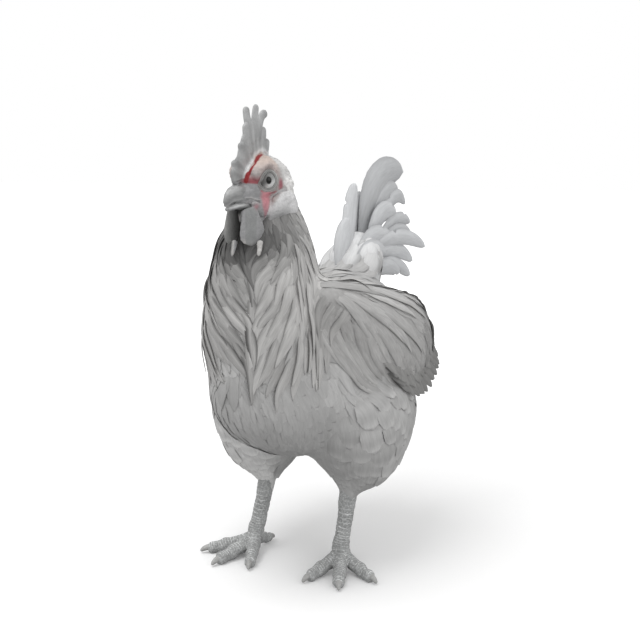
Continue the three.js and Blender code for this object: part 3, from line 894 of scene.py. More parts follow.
def upper_beak(q, n):
    folded = near_side(q)
    x, y, z = folded.T
    nostril = gap_to(folded, NOSTRIL)
    lip = -11.2 + 0.9 * hump(y, -38, 5) - 5.5 * step(-46, -55, y)  # height of the cutting edge
    height = -1.1 * hump(nostril, 0, 0.75) + 0.45 * hump(nostril, 1.9, 0.8)
    height += 0.35 * hump(z, lip + 1.1, 0.8) - 0.25 * hump(z, lip + 2.9, 0.9) + 0.12 * waves(q, 6, 73)
    height += 0.3 * hump(x, 0, 2.4) * step(0.4, 0.9, n[:, 2])
    light = 146 + 6 * waves(q, 10, 74) - 12 * step(-2, -9, z) + 30 * hump(z, lip + 0.6, 0.7)
    return height, light - 26 * hump(nostril, 0, 0.8) - 6 * step(-44, -34, y)


def lower_beak(q, n):
    _, y, z = q.T
    # painted shade: under its pale top edge the lower beak is darker than the upper beak
    return 0.1 * waves(q, 6, 75), 128 + 58 * step(-16.4, -14.4, z - 0.15 * (y + 38)) + 5 * waves(q, 8, 76)


def make_beak(material):
    for name, stations, node_name, sculpt in (("beak_top", BEAK_UPPER, "beak_upper", upper_beak),
                                              ("beak_bottom", BEAK_LOWER, "beak_lower", lower_beak)):
        verts, quads = fused([loft(stations, start=0.05, end=0.09, fullness=0.92)], BEAK_VOXEL, 4)
        normals, _, _ = normals_of(verts, quads)
        height, light = sculpt(verts, normals)
        verts = verts + normals * height[:, None] + HEAD
        obj = new_object(name, verts, quads.ravel(), np.arange(len(quads)) * 4)
        paint(obj, shown(light, BEAK_TINT))
        finish(obj, [material], "beak", node_name)


# ---------------------------------------------------------------- feet
STANCE = 47.5  # half the distance between the feet
FOOT_PLACE = np.array([-6.5, 8.5, -4.6])
FOOT_TURN = {"left": 0.42, "right": -0.25}
ANKLE = 17.0
HOCK = np.array([45.0, 17.0, 72.0])
# Name, direction from straight ahead, length without the claw, radius.
TOES = (
    ("inner", -0.65, 49.5, 6.9), ("middle", 0.0, 54.0, 7.3), ("outer", 0.67, 49.0, 6.8),
    ("hind", 2.95, 27.0, 5.6),
)
CLAW = 7.5
# A claw's stations: distance beyond the toe, height, half width, half height.
CLAW_ROWS = ((-6, 5.2, 3.0, 3.0), (-1, 5.8, 3.0, 3.0), (3.4, 4.6, 2.4, 2.4), (CLAW - 0.6, 2.2, 1.2, 1.2))
SOLE_CLEARANCE = 0.15  # over the floor
CLAW_CLEARANCE = 0.1
FOOT_VOXEL = 0.72
SHANK_RADIUS = 7.0
SCUTE = 3.1  # length of a scute along the toe
# The toe's stations: share of its length, height, and shares of its radius across, up and down.
TOE_PADS = (
    (0, ANKLE - 3, 1, 1, 1), (0.3, ANKLE - 7.2, 0.92, 0.94, 0.98), (0.46, 8.2, 0.84, 0.86, 1.0),
    (0.62, 6.5, 0.87, 0.86, 1.12), (0.76, 5.5, 0.74, 0.76, 0.86), (0.88, 4.9, 0.79, 0.78, 0.98),
    (1.0, 4.6, 0.66, 0.74, 0.8),
)
WEB = ((0, 0, 13, 8, 7, 7), (0, -9, 8.5, 9, 5.5, 5), (0, -17, 6, 8, 3, 3))


def foot_frame(side, sign):
    """The foot's turn and its place."""
    c, s = math.cos(FOOT_TURN[side]), math.sin(FOOT_TURN[side])
    return np.array([[c, -s, 0], [s, c, 0], [0, 0, 1]]), FOOT_PLACE + (sign * STANCE, 0, 0)


def stood(verts, turn, place, clearance):
    """Takes a foot's points to its place, none of them below the floor."""
    verts = verts @ turn.T + place
    verts[:, 2] = np.maximum(verts[:, 2], clearance - PLACE[2])
    return verts


def shank_stations(sign, turn, place):
    x, y, z = (HOCK * (sign, 1, 1) - place) @ turn
    rows = ((0, ANKLE - 6, 8.6, 7.8, 8), (0.05, ANKLE + 5, 8.2, 7.8, 7.8), (0.3, 34, 7.3, 7.6, 7.2),
            (0.7, 56, 7.7, 7.9, 7.5), (1, z, 8.6, 8.6, 8.4), (1.05, z + 9, 6.6, 6.9, 6.4))
    return [(x * share, y * share, height, *sizes) for share, height, *sizes in rows]


def toe_way(angle, sign):
    """The way a toe points, and the way across it."""
    x, y = math.sin(sign * angle), -math.cos(sign * angle)
    return np.array([x, y]), np.array([-y, x, 0.0])


def nearest_digit(verts, lines):
    """For each point: its distance in radii of the nearest digit, that digit, and the distance along it."""
    best, owner, along = np.full(len(verts), 1e9), np.zeros(len(verts), int), np.zeros(len(verts))
    for i, (line, _, radius) in enumerate(lines):
        gap, share = from_line(verts, line)
        length = np.linalg.norm(np.diff(line, axis=0), axis=1).sum()
        closer = gap / radius < best
        best = np.where(closer, gap / radius, best)
        owner = np.where(closer, i, owner)
        along = np.where(closer, share * length, along)
    return best, owner, along


def foot_skin(side, sign):
    """One leg below the feathers: points, quads, colours and the scales' coordinates."""
    turn, place = foot_frame(side, sign)
    shank = shank_stations(sign, turn, place)
    shapes = [loft(shank, start=0.1, end=0.12)]
    lines = [(np.array(shank)[:, :3], np.array([1.0, 0.0, 0.0]), SHANK_RADIUS)]
    for _, angle, length, r in TOES:
        way, level = toe_way(angle, sign)
        stations = [(*(way * length * share), z, *(r * np.array(sizes))) for share, z, *sizes in TOE_PADS]
        shapes.append(loft(stations, level, start=0.08, end=0.12))
        lines.append((np.array(stations)[:, :3], level, r))
    shapes.append(loft(WEB, start=0.2, end=0.3))
    verts, quads = fused(shapes, FOOT_VOXEL, 3)
    normals, _, _ = normals_of(verts, quads)
    best, owner, along = nearest_digit(verts, lines)
    on_shank = owner == 0
    lean = (normals * np.array([line[1] for line in lines])[owner]).sum(axis=1)
    front = step(0.1, 0.6, np.where(on_shank, -normals[:, 1], normals[:, 2]))
    scuted = front * np.where(on_shank, step(60, 40, along), 1.0)
    saw = (along / SCUTE + 0.24 * np.abs(lean)) % 1
    height = scuted * 0.34 * (step(0, 0.25, saw) - step(0.8, 1.0, saw) - 0.6)
    height += 0.22 * waves(verts, 3.2, 81) * (1 - front * 0.6) + 0.3 * waves(verts, 9, 82)
    verts = verts + normals * height[:, None]
    light = 0.53 + 0.03 * waves(verts, 12, 83) - 0.07 * (best > 1.25) - 0.04 * step(30, 70, verts[:, 2])
    scales = np.stack([along, lean * 6 + owner * 40, scuted], axis=1)
    return stood(verts, turn, place, SOLE_CLEARANCE), quads, tinted(light, (0.99, 1.005, 1.0)), scales


def make_claws(side, sign, material):
    turn, place = foot_frame(side, sign)
    for name, angle, length, _ in TOES:
        way, level = toe_way(angle, sign)
        stations = [(*(way * (length + far)), z, a, b, b) for far, z, a, b in CLAW_ROWS]
        verts, faces = loft(stations, level, sides=20, rings=26, start=0.1, end=0.12)
        light = 0.42 + 0.1 * step(0.2, 0.9, np.linalg.norm(verts[:, :2], axis=1) / length - 0.95)
        verts = stood(verts, turn, place, CLAW_CLEARANCE)
        obj = object_of(f"claw_of_{name}_toe_{side}", verts, faces)
        paint(obj, tinted(light, (1.0, 1.0, 0.98)))
        finish(obj, [material], "claw", f"claw_{name}_{side}")


# ---------------------------------------------------------------- the one skin
def make_skin(ground, head, feet):
    """Joins the body, head and feet into one object with a material for each."""
    plumage = coat_colour(ground.verts, ground.normals, ground.shares)
    bare = [(ground.verts, ground.quads, plumage), head]
    shells = [(*shell, np.zeros_like(shell[0])) for shell in bare] + feet
    count, loops, owners = 0, [], []
    for i, (verts, quads, _, _) in enumerate(shells):
        loops.append(quads.ravel() + count)
        owners.append(np.full(len(quads), min(i, 2)))
        count += len(verts)
    owners = np.concatenate(owners)
    verts, colours, scales = (np.vstack([shell[i] for shell in shells]) for i in (0, 2, 3))
    skin = new_object("skin", verts, np.concatenate(loops), np.arange(len(owners)) * 4)
    paint(skin, colours)
    write(skin, "Scales", "FLOAT_VECTOR", "vector", scales)
    nodes = ["trunk", "neck", "head", "comb"]
    for side, _ in SIDES:
        nodes += [f"{part}_{side}" for part in ("wing", "thigh", "ear_lobe", "wattle", "shank")]
        nodes += [f"toe_{toe[0]}_{side}" for toe in TOES]
    materials = [material_of("down", 0.9, 0.1, down_pattern),
                 material_of("bare_skin", 0.6, 0.3, bare_pattern, bump=(-0.15, 0.4)),
                 material_of("scaly_skin", 0.62, 0.3, leg_pattern, bump=(-0.25, 0.6))]
    finish(skin, materials, "face", *nodes)
    skin.data.polygons.foreach_set("material_index", owners.astype(np.int32))


# ---------------------------------------------------------------- lie of the plumage
SHOULDER = np.array([52.0, -112.0, 322.0])  # the left wing's coverts fan out from here
TAIL_HUB = np.array([0.0, 96.0, 240.0])


def neck_flow(p, n):
    """Down the neck, drawn in towards the midline on its front."""
    x, _, z = p.T
    front = np.clip(-n[:, 1], 0, 1) ** 0.4
    inward = 1.4 * front * step(326, 298, z) * step(176, 196, z) * (1 + 0.25 * waves(p, 24, 16))
    back = np.clip(n[:, 1], 0, 1)
    sway = 0.16 * waves(p * (1, 1, 0.6), 46, 11)
    parting = 17 * step(325, 275, z)  # the hackles part a little to the bird's left
    sideways = -np.tanh((x - parting) / 10) * inward + sway
    return np.stack([sideways, 0.12 + 0.35 * back, -np.ones_like(x)], axis=1)


def trunk_flow(p, n):
    """Back along the saddle, drooping over the sides, and down the flanks and breast."""
    x, _, z = p.T
    low = step(235, 180, z)
    out = 0.35 * np.tanh(x / 25) * np.clip(n[:, 2], 0, 1)
    return np.stack([out + 0.08 * waves(p, 50, 12), mix(0.95, 0.45, low), mix(-0.3, -0.9, low)], axis=1)


def wing_flow(p, n):
    """Fans from the shoulder, drooping towards the rear."""
    out = p - SHOULDER * own_side(p)
    out[:, 0] = 0
    way = unit(out)
    way[:, 2] -= 0.25 * step(40, 150, p[:, 1])
    return way + 0.06 * waves(p, 40, 14)[:, None]


def thigh_flow(p, n):
    """Down to the hock, and on down the shank."""
    low = step(92, 70, p[:, 2])
    pull = unit(HOCK * own_side(p) - (0, 0, 14) - p) * (step(170, 90, p[:, 2]) * (1 - low))[:, None]
    sway = 0.12 * waves(p, 40, 15)
    return pull + np.stack([sway, (0.4 + sway) * (1 - low), -0.9 - low], axis=1)


def tail_flow(p, n):
    """Fans up and back from under the root of the tail."""
    return unit(p - TAIL_HUB) * (0.7, 1.0, 1.0)


FLOWS = {neck_flow: ("neck",), trunk_flow: ("trunk",), wing_flow: ("wing_left", "wing_right"),
         thigh_flow: ("thigh_left", "thigh_right"), tail_flow: ("tail",)}


def share_of(shares, *names):
    return sum(shares[:, TRACTS.index(name)] for name in names)


def body_flow(p, n, shares):
    total = np.zeros_like(p)
    for flow, names in FLOWS.items():
        total += unit(flow(p, n)) * share_of(shares, *names)[:, None]
    return total


def cape_flow(p, n, shares):
    """The hackles of the nape lie back along the body; those of the sides hang over the shoulders."""
    side = step(12, 26, np.abs(p[:, 0]))[:, None]
    return unit(body_flow(p, n, shares)) * (1 - side) + unit(neck_flow(p, n)) * side


def head_flow(p, n, shares):
    """Back over the crown and down the nape and cheeks."""
    low = step(16, -8, p[:, 2] - HEAD[2])
    return np.stack([0 * low, mix(1.0, 0.3, low), mix(-0.25, -1.0, low)], axis=1)


def only(flow):
    """A flow that takes no shares, for callers that give them."""
    return lambda p, n, shares: flow(p, n)


# ---------------------------------------------------------------- vanes
ROOT_DEPTH = 0.8  # how far the roots lie under the skin
# A vane's outline: its width at the root, where it reaches full width, where it starts to narrow, how late
# it narrows, and how round its tip is.
ROUNDED = (0.45, 0.5, 0.58, 2.4, 0.5)
LANCEOLATE = (0.4, 0.35, 0.3, 1.9, 0.9)
FLIGHT = (0.5, 0.55, 0.55, 1.9, 0.5)
RECTRIX = (0.5, 0.55, 0.55, 2.6, 0.5)
PATCH = 0.003  # size of a vane's patch on the OFBake map
# The unwrap of the skin: each tract's centre, axis and length.
AXES = {
    "neck": ((0, -62, 270), (0, 0, 1), 230),
    "body": ((0, 10, 200), (0, 1, 0), 330),
    "tail": ((0, 140, 290), (0, 0.55, 0.83), 230),
    "wing_left": ((62, 50, 225), (0, 0.93, -0.33), 270),
    "wing_right": ((-62, 50, 225), (0, 0.93, -0.33), 270),
    "thigh_left": ((46, 20, 130), (0, 0, 1), 180),
    "thigh_right": ((-46, 20, 130), (0, 0, 1), 180),
    "head": ((0, -70, 355), (0, 1, 0), 120),
}


def outline(t, shape):
    """Half width along a vane, as a share of its widest."""
    root, full, widest, late, power = shape
    rise = root + (1 - root) * step(0, full, t)
    return rise * np.clip(1 - np.clip((t - widest) / (1 - widest), 0, 1) ** late, 0, 1) ** power


def vane_faces(stations, across):
    """One closed vane: its faces' corners and where each face starts. A station is a ring: top, underside."""
    size = 2 * across - 2
    r = np.arange(size)
    rings = np.arange(stations - 1)[:, None] * size
    here, beside = rings + r, rings + (r + 1) % size
    quads = np.stack([here, beside, beside + size, here + size], axis=-1)
    under = [0, *range(size - 1, across - 1, -1), across - 1]
    caps = []
    for base, way in ((0, -1), ((stations - 1) * size, 1)):
        for i in range(across - 1):
            corners = [base + i, base + i + 1, base + under[i + 1], base + under[i]]
            caps.append(list(dict.fromkeys(corners))[::way])
    lengths = [4] * (quads.size // 4) + [len(c) for c in caps]
    return np.concatenate([quads.ravel(), np.concatenate(caps)]), np.cumsum([0] + lengths[:-1])


class Vanes:
    """Closed vanes around N spines of S stations, collected for one piece."""

    def __init__(self):
        self.kept = defaultdict(list)
        self.count = self.corners = 0

    def add(self, spine, up, half, colours, roots, across, thickness, camber, roll=None, seed=0, edge=None):
        """spine and up: (N, S, 3); half: (N, S, 2) half widths left and right; colours: (N, S, 3);
        edge: (N, S, across) scales the colours across each vane."""
        amount, stations, _ = spine.shape
        rng = np.random.default_rng(seed)
        ahead = unit(np.gradient(spine, axis=1))
        level = unit(np.cross(ahead, up))
        up = unit(np.cross(level, ahead))
        if roll is not None:
            c, s = np.cos(roll)[:, None, None], np.sin(roll)[:, None, None]
            level, up = level * c + up * s, up * c - level * s
        cross = np.linspace(-1, 1, across)
        wide = np.where(cross < 0, half[..., :1], half[..., 1:]) * cross
        drop = -camber * np.abs(wide) * np.abs(cross)
        plump = half.mean(axis=2)
        plump = step(0, 0.3, plump / plump.max(axis=1, keepdims=True))[..., None]
        flesh = (thickness * (0.12 + 0.88 * (1 - cross**2)) * plump / 2)[..., None] * up[:, :, None]
        mid = spine[:, :, None] + wide[..., None] * level[:, :, None] + drop[..., None] * up[:, :, None]
        ring = np.concatenate([mid + flesh, (mid - flesh)[:, :, -2:0:-1]], axis=2)
        size = ring.shape[2]
        order = np.concatenate([np.arange(across), np.arange(across - 2, 0, -1)])
        loops, starts = vane_faces(stations, across)
        shift = np.arange(amount)[:, None]
        reach = np.cumsum(np.linalg.norm(np.diff(spine, axis=1), axis=2), axis=1)
        barbs = np.zeros((amount, stations, size, 3))
        barbs[..., 0] = wide[:, :, order]
        barbs[:, 1:, :, 1] = reach[..., None]
        barbs[..., 2] = rng.uniform(0, 60, amount)[:, None, None]
        tints = np.repeat(colours[:, :, None], size, axis=2)
        if edge is not None:
            tints = tints * edge[:, :, order, None]
        patches = np.zeros((amount, stations, size, 2))
        patches[..., 0] = cross[order] / 2
        patches[..., 1] = np.linspace(0, 1, stations)[:, None] - 0.5
        patches = roots[:, None, None] + PATCH * patches
        rims = np.zeros((amount, stations, size), bool)
        rims[..., [0, across - 1]] = True
        for name, values in (("verts", ring), ("barbs", barbs), ("colours", tints), ("patches", patches)):
            self.kept[name].append(values.reshape(-1, values.shape[-1]))
        self.kept["rims"].append(rims.ravel())
        self.kept["loops"].append((loops[None] + shift * stations * size + self.count).ravel())
        self.kept["starts"].append((starts[None] + shift * len(loops) + self.corners).ravel())
        self.count += rims.size
        self.corners += amount * len(loops)

    def build(self, name, material, slot, *replaced):
        kept = {key: np.concatenate(values) for key, values in self.kept.items()}
        obj = new_object(name, kept["verts"], kept["loops"], kept["starts"])
        sharpen(obj.data, kept["rims"])
        paint(obj, kept["colours"])
        write(obj, "Barbs", "FLOAT_VECTOR", "vector", kept["barbs"])
        layer = obj.data.uv_layers.new(name="OFBake")
        layer.data.foreach_set("uv", kept["patches"][kept["loops"]].astype(np.float32).ravel())
        finish(obj, [material], slot, *replaced)


def sharpen(mesh, rim):
    """Keeps the faces of a vane from shading around its rim."""
    ends = np.empty(len(mesh.edges) * 2, np.int32)
    mesh.edges.foreach_get("vertices", ends)
    ends = ends.reshape(-1, 2)
    sharp = mesh.attributes.new("sharp_edge", "BOOLEAN", "EDGE")
    sharp.data.foreach_set("value", rim[ends[:, 0]] & rim[ends[:, 1]])


def unwrapped(p, tract):
    """A root's place on an unwrap of the skin: turn about the tract's own axis, and distance along it."""
    centre, axis, length = AXES[tract]
    axis = unit(np.array(axis, float))
    off = p - np.array(centre)
    first = unit(np.cross(axis, (0.31, 0.17, 0.94) if abs(axis[2]) < 0.8 else (0.9, 0.3, 0.1)))
    turn = np.arctan2(off @ np.cross(axis, first), off @ first) / (2 * np.pi) + 0.5
    along = np.clip(off @ axis / length + 0.5, 0, 1)
    return 0.01 + 0.98 * np.stack([turn, along], axis=1)


def spread_out(points, gaps):
    """Which of the points, taken in order, keep their gap from all those taken before."""
    cell = gaps.max()
    grid, chosen = defaultdict(list), []
    keys = np.floor(points / cell).astype(int)
    around = [np.array(shift) for shift in itertools.product((-1, 0, 1), repeat=3)]
    beside = np.stack([keys + shift for shift in around], axis=1).tolist()
    for i, (p, key, near, gap) in enumerate(zip(points.tolist(), keys.tolist(), beside, gaps.tolist())):
        others = (other for place in near for other in grid.get(tuple(place), ()))
        if not any(math.dist(p, q) < (gap + h) / 2 for q, h in others):
            grid[tuple(key)].append((p, gap))
            chosen.append(i)
    return np.array(chosen)


def scattered(ground, wanted, spacing, seed, oversample=9.0):
    """Roots spread over a surface, no two closer than the spacing there, and each root's face."""
    rng = np.random.default_rng(seed)
    density = ground.areas * (wanted > 0.02) / spacing**2
    amount = int(density.sum() * oversample)
    face = rng.choice(len(density), amount, p=density / density.sum())
    a, b = rng.random((2, amount))[..., None]
    corner = ground.verts[ground.quads[face]]
    points = (corner[:, 0] * (1 - a) * (1 - b) + corner[:, 1] * a * (1 - b)
              + corner[:, 2] * a * b + corner[:, 3] * (1 - a) * b)
    keep = rng.random(amount) < wanted[face] * 1.6
    points, face = points[keep], face[keep]
    chosen = spread_out(points, spacing[face])
    return points[chosen], face[chosen]


def traced(ground, roots, flow, length, t):
    """Spines laid on the surface along its flow, and their normals; t is each station's share of a spine."""
    p, n, shares = ground.drop(roots)
    points, normals = [p], [n]
    for k in range(1, len(t)):
        way = flow(p, n, shares)
        way = unit(way - (way * n).sum(axis=1, keepdims=True) * n)
        p, n, shares = ground.drop(p + way * (length * (t[k] - t[k - 1]))[:, None])
        points.append(p)
        normals.append(n)
    return np.stack(points, axis=1), np.stack(normals, axis=1)


def plumage(vanes, ground, wanted, spacing, seeds, flow, along, colour, tract, shape, *,
            length, width, lift, stations=9, across=5, thickness=0.3, camber=0.05, tilt=0.04,
            ragged=0.02, tip=0.0, rim=0.0, emerge=0.5, base=0.76, slit=0.0, vary=0.05):
    """Grows one vane from each of many roots. A pair is mixed by along, a triple by its own share of each
    face. The edge nearest the midline or the ground is the raised one; slit is how dark the painted shadow
    along it is."""
    roots, face = scattered(ground, wanted, spacing * np.ones(len(wanted)), seeds[0])
    rng = np.random.default_rng(seeds[1])
    amount = len(roots)
    at = along(roots) if callable(along) else along[face]

    def each(value):
        if isinstance(value, tuple):
            low, high, *own = value
            return mix(low, high, own[0][face] if own else at)
        return np.broadcast_to(value(roots, at) if callable(value) else value, amount)

    length = each(length) * rng.uniform(0.86, 1.14, amount)
    width = each(width) * rng.uniform(0.88, 1.12, amount)
    lift = each(lift) * rng.uniform(0.7, 1.35, amount)
    t = np.linspace(0, 1, stations) ** 0.85
    points, normals = traced(ground, roots, flow, length, t)
    # neighbouring stations share their normals, so that a vane doesn't follow every dent
    for _ in range(3):
        normals[:, 1:-1] = unit(normals[:, :-2] + normals[:, 1:-1] + normals[:, 2:])
    height = -ROOT_DEPTH + (lift[:, None] + ROOT_DEPTH) * step(0, emerge, t)[None]
    spine = points + normals * height[..., None]
    for _ in range(2):
        spine[:, 1:-1] = (spine[:, :-2] + 2 * spine[:, 1:-1] + spine[:, 2:]) / 4
    wide = (width / 2)[:, None, None] * np.maximum(outline(t, shape), 0.03)[None, :, None]
    half = wide * (1 + ragged * rng.normal(size=(amount, stations, 2)))
    side = np.where(roots[:, 0] > 0, 1.0, -1.0)
    roll = side * tilt + rng.normal(0, 0.5 * abs(tilt), amount)
    tint = colour(roots, face) * (1 + vary * rng.normal(size=(amount, 1)))
    base, rim, slit, tip = (each(value)[:, None] for value in (base, rim, slit, tip))
    # Painted shade and highlight: base darkens each vane towards its root, where it lies under others; rim
    # paints a paler tip with a darker band just inside it; tip darkens towards the tip.
    shade = base + (1 - base) * step(0.0, 0.45, t) + rim * (step(0.72, 0.97, t) - 0.4 * hump(t, 0.68, 0.12))
    colours = tint[:, None] * (shade * (1 - tip * step(0.55, 1.0, t)))[..., None]
    inner = side[:, None] * np.linspace(-1, 1, across)
    # slit paints a shadow along the raised edge
    dark = slit * step(0.12, 0.4, t) * step(1.02, 0.9, t)
    edge = 1 - dark[:, :, None] * (step(0.5, 0.98, inner) - 0.14 * hump(inner, 0.3, 0.3))[:, None]
    vanes.add(spine, normals, half, colours, unwrapped(roots, tract), across, thickness,
              each(camber)[:, None, None], roll, seeds[1], edge)


# ---------------------------------------------------------------- the coat
def neck_colour(p, n):
    x, _, z = p.T
    front = np.clip(-n[:, 1], 0, 1)
    # Painted light and shade: darker on the front, darkest on the throat under the head and wattles, darker
    # where the skin faces up, and lighter on the sides and back.
    light = 0.48 + 0.03 * waves(p, 30, 21) - 0.06 * step(296, 326, z) * front
    light -= 0.27 * step(282, 318, z) * front * step(48, 16, np.abs(x))
    light += 0.08 * (1 - front) - 0.07 * step(285, 235, z) * front - 0.03 * front
    light -= 0.12 * step(0.1, 0.7, n[:, 2])
    return tinted(light, (1.012, 1.0, 0.982))


def body_colour(p, n):
    """The plumage of trunk and thighs."""
    x, y, z = p.T
    # Painted shade: darker low on the front under the breast, and on the saddle towards the tail.
    low = step(190, 140, z) * np.clip(-n[:, 1] + 0.2, 0, 1)
    light = 0.47 - 0.06 * low + 0.03 * waves(p, 34, 22) - 0.05 * step(210, 250, z) * step(20, 90, y)
    light += 0.02 * step(20, 60, np.abs(x)) * step(200, 150, z) + 0.24 * step(-10, -40, x) * step(190, 140, z)
    light -= 0.03 * step(200, 170, z) * step(-20, -60, y) * step(-10, 10, x)
    return tinted(light, (1.005, 1.0, 0.99))


def wing_colour(p):
    far = step(10, 150, p[:, 1] + 0.6 * (215 - p[:, 2]))
    return tinted(0.44 - 0.1 * far + 0.03 * waves(p, 26, 23), (1.01, 1.0, 0.985))


def tail_colour(p):
    return tinted(0.7 + 0.03 * waves(p, 30, 24), (0.995, 1.0, 1.005))


def coat_colour(p, n, shares):
    """What the skin under the plumage carries: each tract's colours and painted shade, made a little darker
    as painted shade in the gaps between the vanes.
    """
    total = share_of(shares, "neck")[:, None] * neck_colour(p, n)
    total += share_of(shares, "trunk", "thigh_left", "thigh_right")[:, None] * body_colour(p, n)
    total += share_of(shares, "wing_left", "wing_right")[:, None] * wing_colour(p)
    total += share_of(shares, "tail")[:, None] * tail_colour(p)
    # painted shade: the skin shows darker between the vanes
    return 0.92 * total


def grow_neck(ground, material):
    """Hackles: a smooth layer, and curved locks over it whose inner edges stand off, each with a painted
    shadow along that edge.
    """
    p, n, shares = ground.at_faces()
    high = step(256, 340, p[:, 2])
    cape = step(-34, -46, p[:, 1]) * step(30, 38, np.abs(p[:, 0])) * step(238, 248, p[:, 2])
    hem = p[:, 2] + 13 * waves(p, 17, 57) + 12 * hump(p[:, 0], 17, 24)  # lowest at the parting
    tract = np.maximum(share_of(shares, "neck"), cape * step(-0.1, 0.2, n[:, 2])) * step(238, 246, hem)
    # how far the locks stand off, and how much longer those high on the sides are
    for name, where, flow, stand, longer in (("front", n[:, 1] < 0, only(neck_flow), 1.0, 0),
                                             ("back", n[:, 1] >= 0, cape_flow, 0.5, 20)):
        def length(roots, up):
            return mix(58, 38, up) + longer * step(10, 24, np.abs(roots[:, 0])) * up

        # how dark the painted shadow along each lock's raised edge is
        def slit(roots, up):
            depth = np.random.default_rng(56).uniform(0.3, 0.85, len(roots))
            calm = mix(1.0, 0.5, up) * mix(1.0, 0.45, step(24, 44, roots[:, 0]))
            return depth * calm * (0.2 + 0.8 * stand)

        vanes = Vanes()
        plumage(vanes, ground, tract * where, mix(7.0, 4.0, high), (31, 41), flow, high,
                lambda r, f: neck_colour(r, n[f]), "neck", LANCEOLATE, length=(46, 24), width=(12, 7),
                lift=(1.1, 0.6), stations=13, tilt=0.03, vary=0.03, base=0.85)
        locks = tract * where * step(342, 326, p[:, 2]) * step(246, 254, hem)
        plumage(vanes, ground, locks, mix(10.2, 8.0, high), (36, 46), flow, high,
                lambda r, f: 1.04 * neck_colour(r, n[f]), "neck", LANCEOLATE, length=length, width=(13.5, 7),
                lift=(2.4 * stand, 1.2 * stand), stations=17, across=9, thickness=0.4, camber=0.1,
                tilt=0.2 * stand, ragged=0.01, vary=0.03, base=0.9, slit=slit)
        vanes.build(f"coat_neck_{name}", material, "plumage")


def grow_trunk(ground, material):
    """The smooth breast, the soft scallops of the flanks, and the long feathers of the saddle."""
    p, n, shares = ground.at_faces()
    upper = step(0.0, 0.5, n[:, 2] + 0.004 * (p[:, 2] - 215))
    wanted = share_of(shares, "trunk") + share_of(shares, "neck") * step(262, 254, p[:, 2])
    flank = step(-30, 30, p[:, 1])
    vanes = Vanes()
    plumage(vanes, ground, wanted * (1 - upper), mix(7.0, 11, flank), (32, 42), body_flow, flank,
            lambda r, f: body_colour(r, n[f]), "body", ROUNDED, length=36.0, width=(17, 25), lift=(0.25, 2.2),
            stations=11, across=7, thickness=0.2, camber=(0.02, 0.22), tilt=0.015, rim=(0.01, 0.18),
            base=(0.98, 0.82), vary=0.015)
    vanes.build("coat_breast", material, "plumage")
    vanes = Vanes()
    plumage(vanes, ground, wanted * upper, 8.0, (33, 47), body_flow, lambda r: step(40, 130, r[:, 1]),
            lambda r, f: body_colour(r, n[f]), "body", LANCEOLATE, length=(42, 64), width=(15, 14),
            lift=(0.7, 2.0), stations=12, across=7, tilt=0.06, vary=0.03, base=0.92, slit=0.15, emerge=0.3)
    vanes.build("coat_back", material, "plumage")


def grow_thigh(ground, material, side):
    p, n, shares = ground.at_faces()
    low = step(125, 72, p[:, 2])
    wanted = share_of(shares, f"thigh_{side}") * step(66, 71, p[:, 2])
    vanes = Vanes()
    plumage(vanes, ground, wanted, mix(11.0, 3.6, low), (33, 43), body_flow, low,
            lambda r, f: body_colour(r, n[f]) * 1.03, f"thigh_{side}", ROUNDED, length=(35, 12),
            width=(24, 6), lift=(2.3, 0.5), stations=11, across=7, thickness=0.18, camber=0.18,
            tilt=0.03, rim=(0.19, 0.0), base=0.82, vary=0.02)
    vanes.build(f"coat_thigh_{side}", material, "plumage")


def grow_wing(ground, material, side, sign):
    """Coverts that fan from the shoulder, with long scapulars over them; only the rearmost tips stand off."""
    p, _, shares = ground.at_faces()
    wanted = share_of(shares, f"wing_{side}")
    reach = np.linalg.norm(p - SHOULDER * (sign, 1, 1), axis=1)
    far = step(80, 220, reach)
    loose = step(60, 140, p[:, 1]) * step(228, 190, p[:, 2])
    vanes = Vanes()
    plumage(vanes, ground, wanted, mix(7.0, 9.5, far), (34, 44), body_flow, far,
            lambda r, f: wing_colour(r), f"wing_{side}", LANCEOLATE, length=(44, 62), width=(12, 15),
            lift=(0.25, 1.75, loose), stations=13, across=7, thickness=0.16, camber=0.03, tilt=0.025,
            tip=(0.0, 0.3, loose), base=(0.98, 0.88, loose), vary=0.02, slit=(0.05, 0.35, loose), emerge=0.12)
    top = share_of(shares, "trunk") * step(30, 40, sign * p[:, 0]) * step(255, 270, p[:, 2])
    fold = np.maximum(wanted, top * step(-10, -25, p[:, 1])) * step(118, 104, reach)
    plumage(vanes, ground, fold, 9.0, (37, 48), only(wing_flow), far,
            lambda r, f: 1.08 * wing_colour(r), f"wing_{side}", LANCEOLATE, length=118.0, width=12.0,
            lift=1.3, stations=20, across=7, camber=0.06, tilt=0.06, ragged=0.01, vary=0.02, base=0.97,
            slit=0.25, emerge=0.08)
    vanes.build(f"coat_wing_{side}", material, "wing")


def feathered(q):
    """Where the head has feathers: behind the face."""
    _, y, z = q.T
    _, beyond, _, _ = around_eye(q)
    rear = step(9, 14, y + 0.12 * (z - 8))
    return rear * (1 - comb_share(q)) * (1 - wattle_share(q)) * step(4.0, 6.0, beyond) * (1 - lobe_share(q))


def crown_ground(ground, head):
    """The head above the throat and the top of the neck as one surface, and how many faces are the head's."""
    verts, quads, _ = head
    own = quads[verts[quads][:, :, 2].mean(axis=1) > HEAD[2] - 30]
    neck = ground.quads[ground.verts[ground.quads][:, :, 2].mean(axis=1) > HEAD[2] - 70]
    verts, quads = np.vstack([verts, ground.verts]), np.vstack([own, neck + len(verts)])
    return Ground(verts, quads, np.zeros((len(verts), 1))), len(own)


